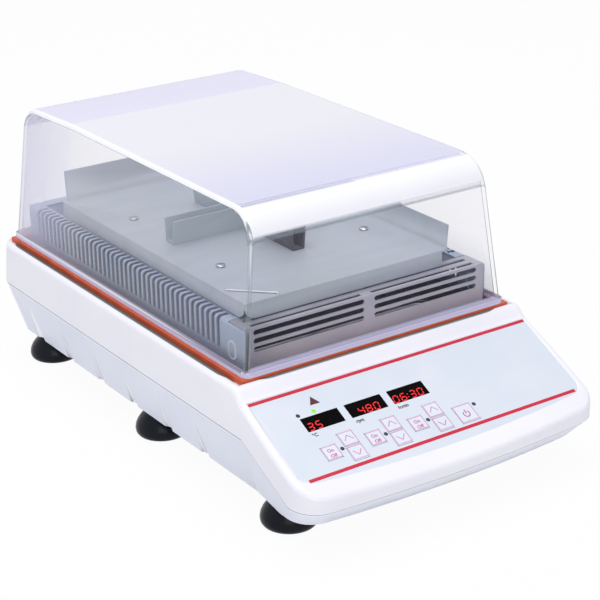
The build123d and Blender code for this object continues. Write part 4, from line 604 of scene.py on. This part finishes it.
def stroke(x0, v0, x1, v1, width, high=PRINT):
    """A straight stroke from one point of the console to another."""
    length = math.hypot(x1 - x0, v1 - v0)
    bpy.ops.mesh.primitive_plane_add(size=MM)
    bpy.ops.object.mode_set(mode="EDIT")
    bpy.ops.transform.resize(value=(length, width, 1))
    bpy.ops.mesh.extrude_region_move(TRANSFORM_OT_translate={"value": (0, 0, high * MM)})
    bpy.ops.object.mode_set(mode="OBJECT")
    middle = Matrix.Translation(((x0 + x1) / 2 * MM, -(v0 + v1) / 2 * MM, 0))
    return fix_place(bpy.context.object, middle @ Matrix.Rotation(math.atan2(v0 - v1, x1 - x0), 4, "Z"))


def frame_line(x0, x1, v0, v1, width):
    """A rectangular outline: a plane with an inset whose middle is taken out."""
    bpy.ops.mesh.primitive_plane_add(size=MM)
    bpy.ops.object.mode_set(mode="EDIT")
    bpy.ops.transform.resize(value=(x1 - x0, v1 - v0, 1))
    bpy.ops.mesh.inset(thickness=width * MM)
    bpy.ops.mesh.delete(type="FACE")
    bpy.ops.mesh.select_all(action="SELECT")
    bpy.ops.mesh.extrude_region_move(TRANSFORM_OT_translate={"value": (0, 0, PRINT * MM)})
    bpy.ops.object.mode_set(mode="OBJECT")
    return fix_place(bpy.context.object, Matrix.Translation(((x0 + x1) / 2 * MM, -(v0 + v1) / 2 * MM, 0)))


def word(text, x, v, size, lean=0.0):
    """A short sign set with its left end and its foot line at a point of the console."""
    bpy.ops.object.text_add()
    sign = bpy.context.object
    sign.data.body = text
    sign.data.size = size * MM
    sign.data.shear = lean
    sign.data.offset = 0.00012
    sign.data.extrude = PRINT / 2 * MM
    sign.data.resolution_u = 4
    bpy.ops.object.convert(target="MESH")
    return fix_place(bpy.context.object, Matrix.Translation((x * MM, -v * MM, PRINT / 2 * MM)))


def lay_on_console(pieces, name, body, material, height=0.0):
    """Join strokes into one piece and lay it on the slope at a height above the film."""
    piece = joined(pieces)
    tidy_normals(piece)
    fix_place(piece, console @ Matrix.Translation((0, 0, height * MM)))
    return hand_over(piece, name, body, material)


# %% [markdown]
# Two crimson lines frame the film: one along its upper edge, and one low down that meets the rounded corners.

# %% Crimson lines
lines = [stroke(-123.6, 1.35, 123.6, 1.35, 2.6), stroke(-118.2, 72.9, 118.2, 72.9, 2.7)]
lay_on_console(lines, "crimson_lines", "base", crimson)
print("crimson lines:", len(lines))

# %% [markdown]
# Every key carries a thin pink outline and its sign: an arrowhead up or down, the words On and Off, or the
# round power
# sign. They lie on the key's own cap, so they move with it when the key is pressed.

# %% Signs on the keys
PITCH = 36.9
OUTLINE = 0.42
key_signs = 0
for index, group in enumerate(("temperature", "speed", "timer")):
    step = index * PITCH
    on_off = [
        frame_line(-95.8 + step, -84.0 + step, 51.5, 62.5, OUTLINE),
        word("On", -92.6 + step, 56.8, 3.9),
        word("Off", -92.5 + step, 61.4, 3.9),
    ]
    upward = [
        frame_line(-78.0 + step, -66.2 + step, 44.9, 55.9, OUTLINE),
        stroke(-75.4 + step, 52.0, -71.9 + step, 47.9, 0.6),
        stroke(-68.4 + step, 52.0, -71.9 + step, 47.9, 0.6),
    ]
    downward = [
        frame_line(-78.0 + step, -66.2 + step, 57.6, 68.6, OUTLINE),
        stroke(-75.4 + step, 61.3, -71.9 + step, 65.5, 0.6),
        stroke(-68.4 + step, 61.3, -71.9 + step, 65.5, 0.6),
    ]
    for strokes, action in ((on_off, "on_off"), (upward, "up"), (downward, "down")):
        key = f"key_{group}_{action}"
        lay_on_console(strokes, "sign_" + key, key, key_pink, 0.3)
        key_signs += 1
print("signs on the keys:", key_signs)


# %% Power sign
def ring_arc(x, v, radius, width, gap_degrees):
    """A round line with a gap at its top, spun from a short upright face."""
    bpy.ops.mesh.primitive_plane_add(size=MM, rotation=(math.pi / 2, 0, 0))
    bpy.ops.object.transform_apply(location=False, rotation=True, scale=False)
    bpy.ops.object.mode_set(mode="EDIT")
    bpy.ops.transform.resize(value=(width, 1, PRINT))
    bpy.ops.transform.translate(value=(radius * MM, 0, PRINT / 2 * MM))
    first = math.radians(90 - gap_degrees / 2)
    bpy.ops.transform.rotate(value=-first, orient_axis="Z", center_override=(0, 0, 0))
    bpy.ops.mesh.spin(steps=36, angle=math.radians(360 - gap_degrees), center=(0, 0, 0), axis=(0, 0, 1))
    bpy.ops.object.mode_set(mode="OBJECT")
    return fix_place(bpy.context.object, Matrix.Translation((x * MM, -v * MM, 0)))


power = [
    ring_arc(23.6, 62.4, 2.5, 0.75, 80),
    stroke(23.6, 62.2, 23.6, 58.6, 0.8),
]
lay_on_console(power, "sign_power", "key_power", symbol_pink, 0.3)
lay_on_console([frame_line(15.9, 31.0, 54.2, 68.9, OUTLINE)], "outline_power", "key_power", key_pink, 0.3)
print("power sign laid on its key")

# %% [markdown]
# ## The three displays
#
# Each display is a module behind a dark pane. The module's digits are made of slanted bars. One bar is
# shaped once,
# with pointed ends, and each digit takes copies of it at the places of a seven-bar figure.

# %% Digit bars
LEAN = math.tan(math.radians(9))
DIGIT_WIDE, DIGIT_TALL, BAR = 4.0, 5.9, 1.05
BARS = {
    "top": (0.5, 1.0, 0), "middle": (0.5, 0.5, 0), "foot": (0.5, 0.0, 0),
    "left_high": (0.0, 0.75, 90), "right_high": (1.0, 0.75, 90),
    "left_low": (0.0, 0.25, 90), "right_low": (1.0, 0.25, 90),
}
FIGURES = {
    "0": ("top", "foot", "left_high", "right_high", "left_low", "right_low"),
    "3": ("top", "middle", "foot", "right_high", "right_low"),
    "4": ("middle", "left_high", "right_high", "right_low"),
    "5": ("top", "middle", "foot", "left_high", "right_low"),
    "6": ("top", "middle", "foot", "left_high", "left_low", "right_low"),
    "8": tuple(BARS),
}


def digit_bar(length):
    """One bar with pointed ends, lying along X about the origin."""
    bpy.ops.mesh.primitive_circle_add(vertices=6, radius=BAR / 2 * MM, fill_type="NGON")
    bpy.ops.object.mode_set(mode="EDIT")
    bpy.ops.transform.rotate(value=math.radians(90), orient_axis="Z", center_override=(0, 0, 0))
    bpy.ops.mesh.extrude_region_move(TRANSFORM_OT_translate={"value": (0, 0, 0.05 * MM)})
    bpy.ops.object.mode_set(mode="OBJECT")
    bar = bpy.context.object
    return fix_place(bar, Matrix.Diagonal((length / BAR, 1, 1, 1)))


long_bar = digit_bar(DIGIT_WIDE - 0.25)
short_bar = digit_bar(DIGIT_TALL / 2 - 0.2)


def figure(sign, x, v):
    """The bars of one figure whose lower left corner is at a point of the console."""
    placed = []
    for name in FIGURES[sign]:
        across, rise, turned = BARS[name]
        pick(short_bar if turned else long_bar)
        bpy.ops.object.duplicate()
        bar = bpy.context.object
        shift = Matrix.Translation((across * DIGIT_WIDE * MM, rise * DIGIT_TALL * MM, 0))
        slant = Matrix(((1, LEAN, 0, 0), (0, 1, 0, 0), (0, 0, 1, 0), (0, 0, 0, 1)))
        spot = Matrix.Translation((x * MM, -v * MM, 0))
        bar.data.transform(spot @ slant @ shift @ Matrix.Rotation(math.radians(turned), 4, "Z"))
        placed.append(bar)
    return placed


displays = {"temperature": (("3", -94.0), ("5", -87.3)),
            "speed": (("4", -51.2), ("8", -44.7), ("0", -38.2)),
            "time": (("0", -21.2), ("6", -14.6), ("3", -6.3), ("0", 0.3))}
for name, figures in displays.items():
    bars = []
    for sign, x in figures:
        bars += figure(sign, x, 35.7)
    if name == "time":
        bars.append(stroke(-8.75, 34.0, -7.95, 34.0, 0.8, 0.05))
        bars.append(stroke(-8.3, 31.4, -7.5, 31.4, 0.8, 0.05))
    lay_on_console(bars, "digits_" + name, "base", digit_glow, 0.01)
for spare in (long_bar, short_bar):
    pick(spare)
    bpy.ops.object.delete()
print("displays:", list(displays))

# %% [markdown]
# Small units stand under the displays. The two lamps over the first display and the four lamps beside the
# keys are
# dark dots, one of them lit green. The triangle is the hot-surface lamp.

# %% Units and lamps
units = [word("\u00b0C", -94.8, 41.2, 4.0), word("rpm", -58.2, 41.2, 4.0), word("h:min", -21.6, 41.2, 4.0)]
lay_on_console(units, "unit_signs", "base", ink)

lamp_skin = smooth_skin("indicator_lamps", lamp_dark, 40)
pick(lamp_skin)
bpy.ops.object.mode_set(mode="EDIT")
bpy.ops.mesh.select_all(action="SELECT")
bpy.ops.mesh.separate(type="LOOSE")
bpy.ops.object.mode_set(mode="OBJECT")
lamps = list(bpy.context.selected_objects)
for lamp in lamps:
    middle = sum((Vector(corner) for corner in lamp.bound_box), Vector()) / 8
    wide = max(corner[0] for corner in lamp.bound_box) - min(corner[0] for corner in lamp.bound_box)
    finish_here = lamp_dark
    if wide > 0.005:
        finish_here = maroon
    elif abs(middle.x - -0.0819) < 0.002 and middle.z > 0.07:
        finish_here = lamp_green
    lamp.data.materials.clear()
    lamp.data.materials.append(finish_here)
    lamp.name = f"lamp_{round(middle.x * 1000)}".replace("-", "m")
    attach(lamp, "base")
    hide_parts("indicator_lamps")
print("lamps:", len(lamps))

# %% Finishes for parts that keep their own mesh
keeps = {
    overlay_blue: ("control_overlay",),
    module_black: ("led_displays",),
    board_resist: ("control_board", "power_board"),
    bright_steel: (
        "base_chassis", "hinge_brackets", "hinge_leaves", "hinge_pins", "foot_studs",
        "housing_screws", "temperature_probe",
    ),
    cast_drive: (
        "bearing_housing", "crank", "motor_pulley", "idler_posts", "idler_crank_1", "idler_crank_2",
        "idler_crank_3", "idler_crank_4", "tray_carrier",
    ),
    motor_paint: ("drive_motor", "fan_motor"),
    dark_fitting: ("drive_belt", "power_inlet", "fuse_drawer"),
    deck_shade_paint: ("fan_impeller",),
    pan_shade_dark: ("chamber_pan",),
    pane_dark: ("display_windows",),
    key_film: tuple(n for n in parts if n.startswith("key_")),
}
for material, names in keeps.items():
    for node in names:
        for place in parts[node].material_slots:
            place.material = material
print("parts that keep their mesh:", sum(len(names) for names in keeps.values()))

# %% [markdown]
# ## The studio
#
# The floor is a large pale sheet. Camera rays see it as white with only a light touch of the object's
# shadow. The
# light is a wide soft panel overhead, a softer one at the front left, and a pale sky that fills the rest.

# %% Floor
deselect()
bpy.ops.mesh.primitive_plane_add(size=12.0, location=(0, 0, 0))
floor = bpy.context.object
floor.name = "studio_floor"
paper = bpy.data.materials.new("floor_paper")
paper.use_nodes = True
nodes, links = paper.node_tree.nodes, paper.node_tree.links
matte = nodes["Principled BSDF"]
matte.inputs["Base Color"].default_value = (0.85, 0.85, 0.86, 1)
matte.inputs["Roughness"].default_value = 0.9
glow = nodes.new("ShaderNodeEmission")
glow.inputs["Color"].default_value = (1, 1, 1, 1)
path = nodes.new("ShaderNodeLightPath")
seen = nodes.new("ShaderNodeMath")
seen.operation = "MAXIMUM"
links.new(path.outputs["Is Camera Ray"], seen.inputs[0])
links.new(path.outputs["Is Glossy Ray"], seen.inputs[1])
seen_too = nodes.new("ShaderNodeMath")
seen_too.operation = "MAXIMUM"
links.new(seen.outputs["Value"], seen_too.inputs[0])
links.new(path.outputs["Is Transmission Ray"], seen_too.inputs[1])
share = nodes.new("ShaderNodeMath")
share.operation = "MULTIPLY"
share.inputs[1].default_value = 0.95
links.new(seen_too.outputs["Value"], share.inputs[0])
blend = nodes.new("ShaderNodeMixShader")
links.new(share.outputs["Value"], blend.inputs["Fac"])
links.new(matte.outputs["BSDF"], blend.inputs[1])
links.new(glow.outputs["Emission"], blend.inputs[2])
links.new(blend.outputs["Shader"], nodes["Material Output"].inputs["Surface"])
floor.data.materials.append(paper)

# %% Sky and lamps
world = bpy.data.worlds.new("studio_sky")
bpy.context.scene.world = world
world.use_nodes = True
nodes, links = world.node_tree.nodes, world.node_tree.links
sky = nodes["Background"]
sky.inputs["Color"].default_value = (0.93, 0.94, 1.0, 1)
sky.inputs["Strength"].default_value = 0.55
white = nodes.new("ShaderNodeBackground")
white.inputs["Color"].default_value = (1, 1, 1, 1)
white.inputs["Strength"].default_value = 1.0
path = nodes.new("ShaderNodeLightPath")
seen = nodes.new("ShaderNodeMath")
seen.operation = "MAXIMUM"
links.new(path.outputs["Is Camera Ray"], seen.inputs[0])
links.new(path.outputs["Is Glossy Ray"], seen.inputs[1])
seen_too = nodes.new("ShaderNodeMath")
seen_too.operation = "MAXIMUM"
links.new(seen.outputs["Value"], seen_too.inputs[0])
links.new(path.outputs["Is Transmission Ray"], seen_too.inputs[1])
mix = nodes.new("ShaderNodeMixShader")
links.new(seen_too.outputs["Value"], mix.inputs["Fac"])
links.new(sky.outputs["Background"], mix.inputs[1])
links.new(white.outputs["Background"], mix.inputs[2])
links.new(mix.outputs["Shader"], nodes["World Output"].inputs["Surface"])


def soft_panel(name, place, aim, size, watts):
    bpy.ops.object.light_add(type="AREA", location=place)
    lamp = bpy.context.object
    lamp.name = name
    lamp.data.shape = "SQUARE"
    lamp.data.size = size
    lamp.data.energy = watts
    lamp.rotation_euler = (Vector(aim) - Vector(place)).to_track_quat("-Z", "Y").to_euler()
    return lamp


deselect()
soft_panel("panel_over", (-0.2, 0.1, 2.0), (0, 0, 0.1), 1.8, 24)
soft_panel("panel_front", (-1.2, -1.9, 1.1), (0, 0, 0.1), 1.4, 12)
print("lamps and sky ready")
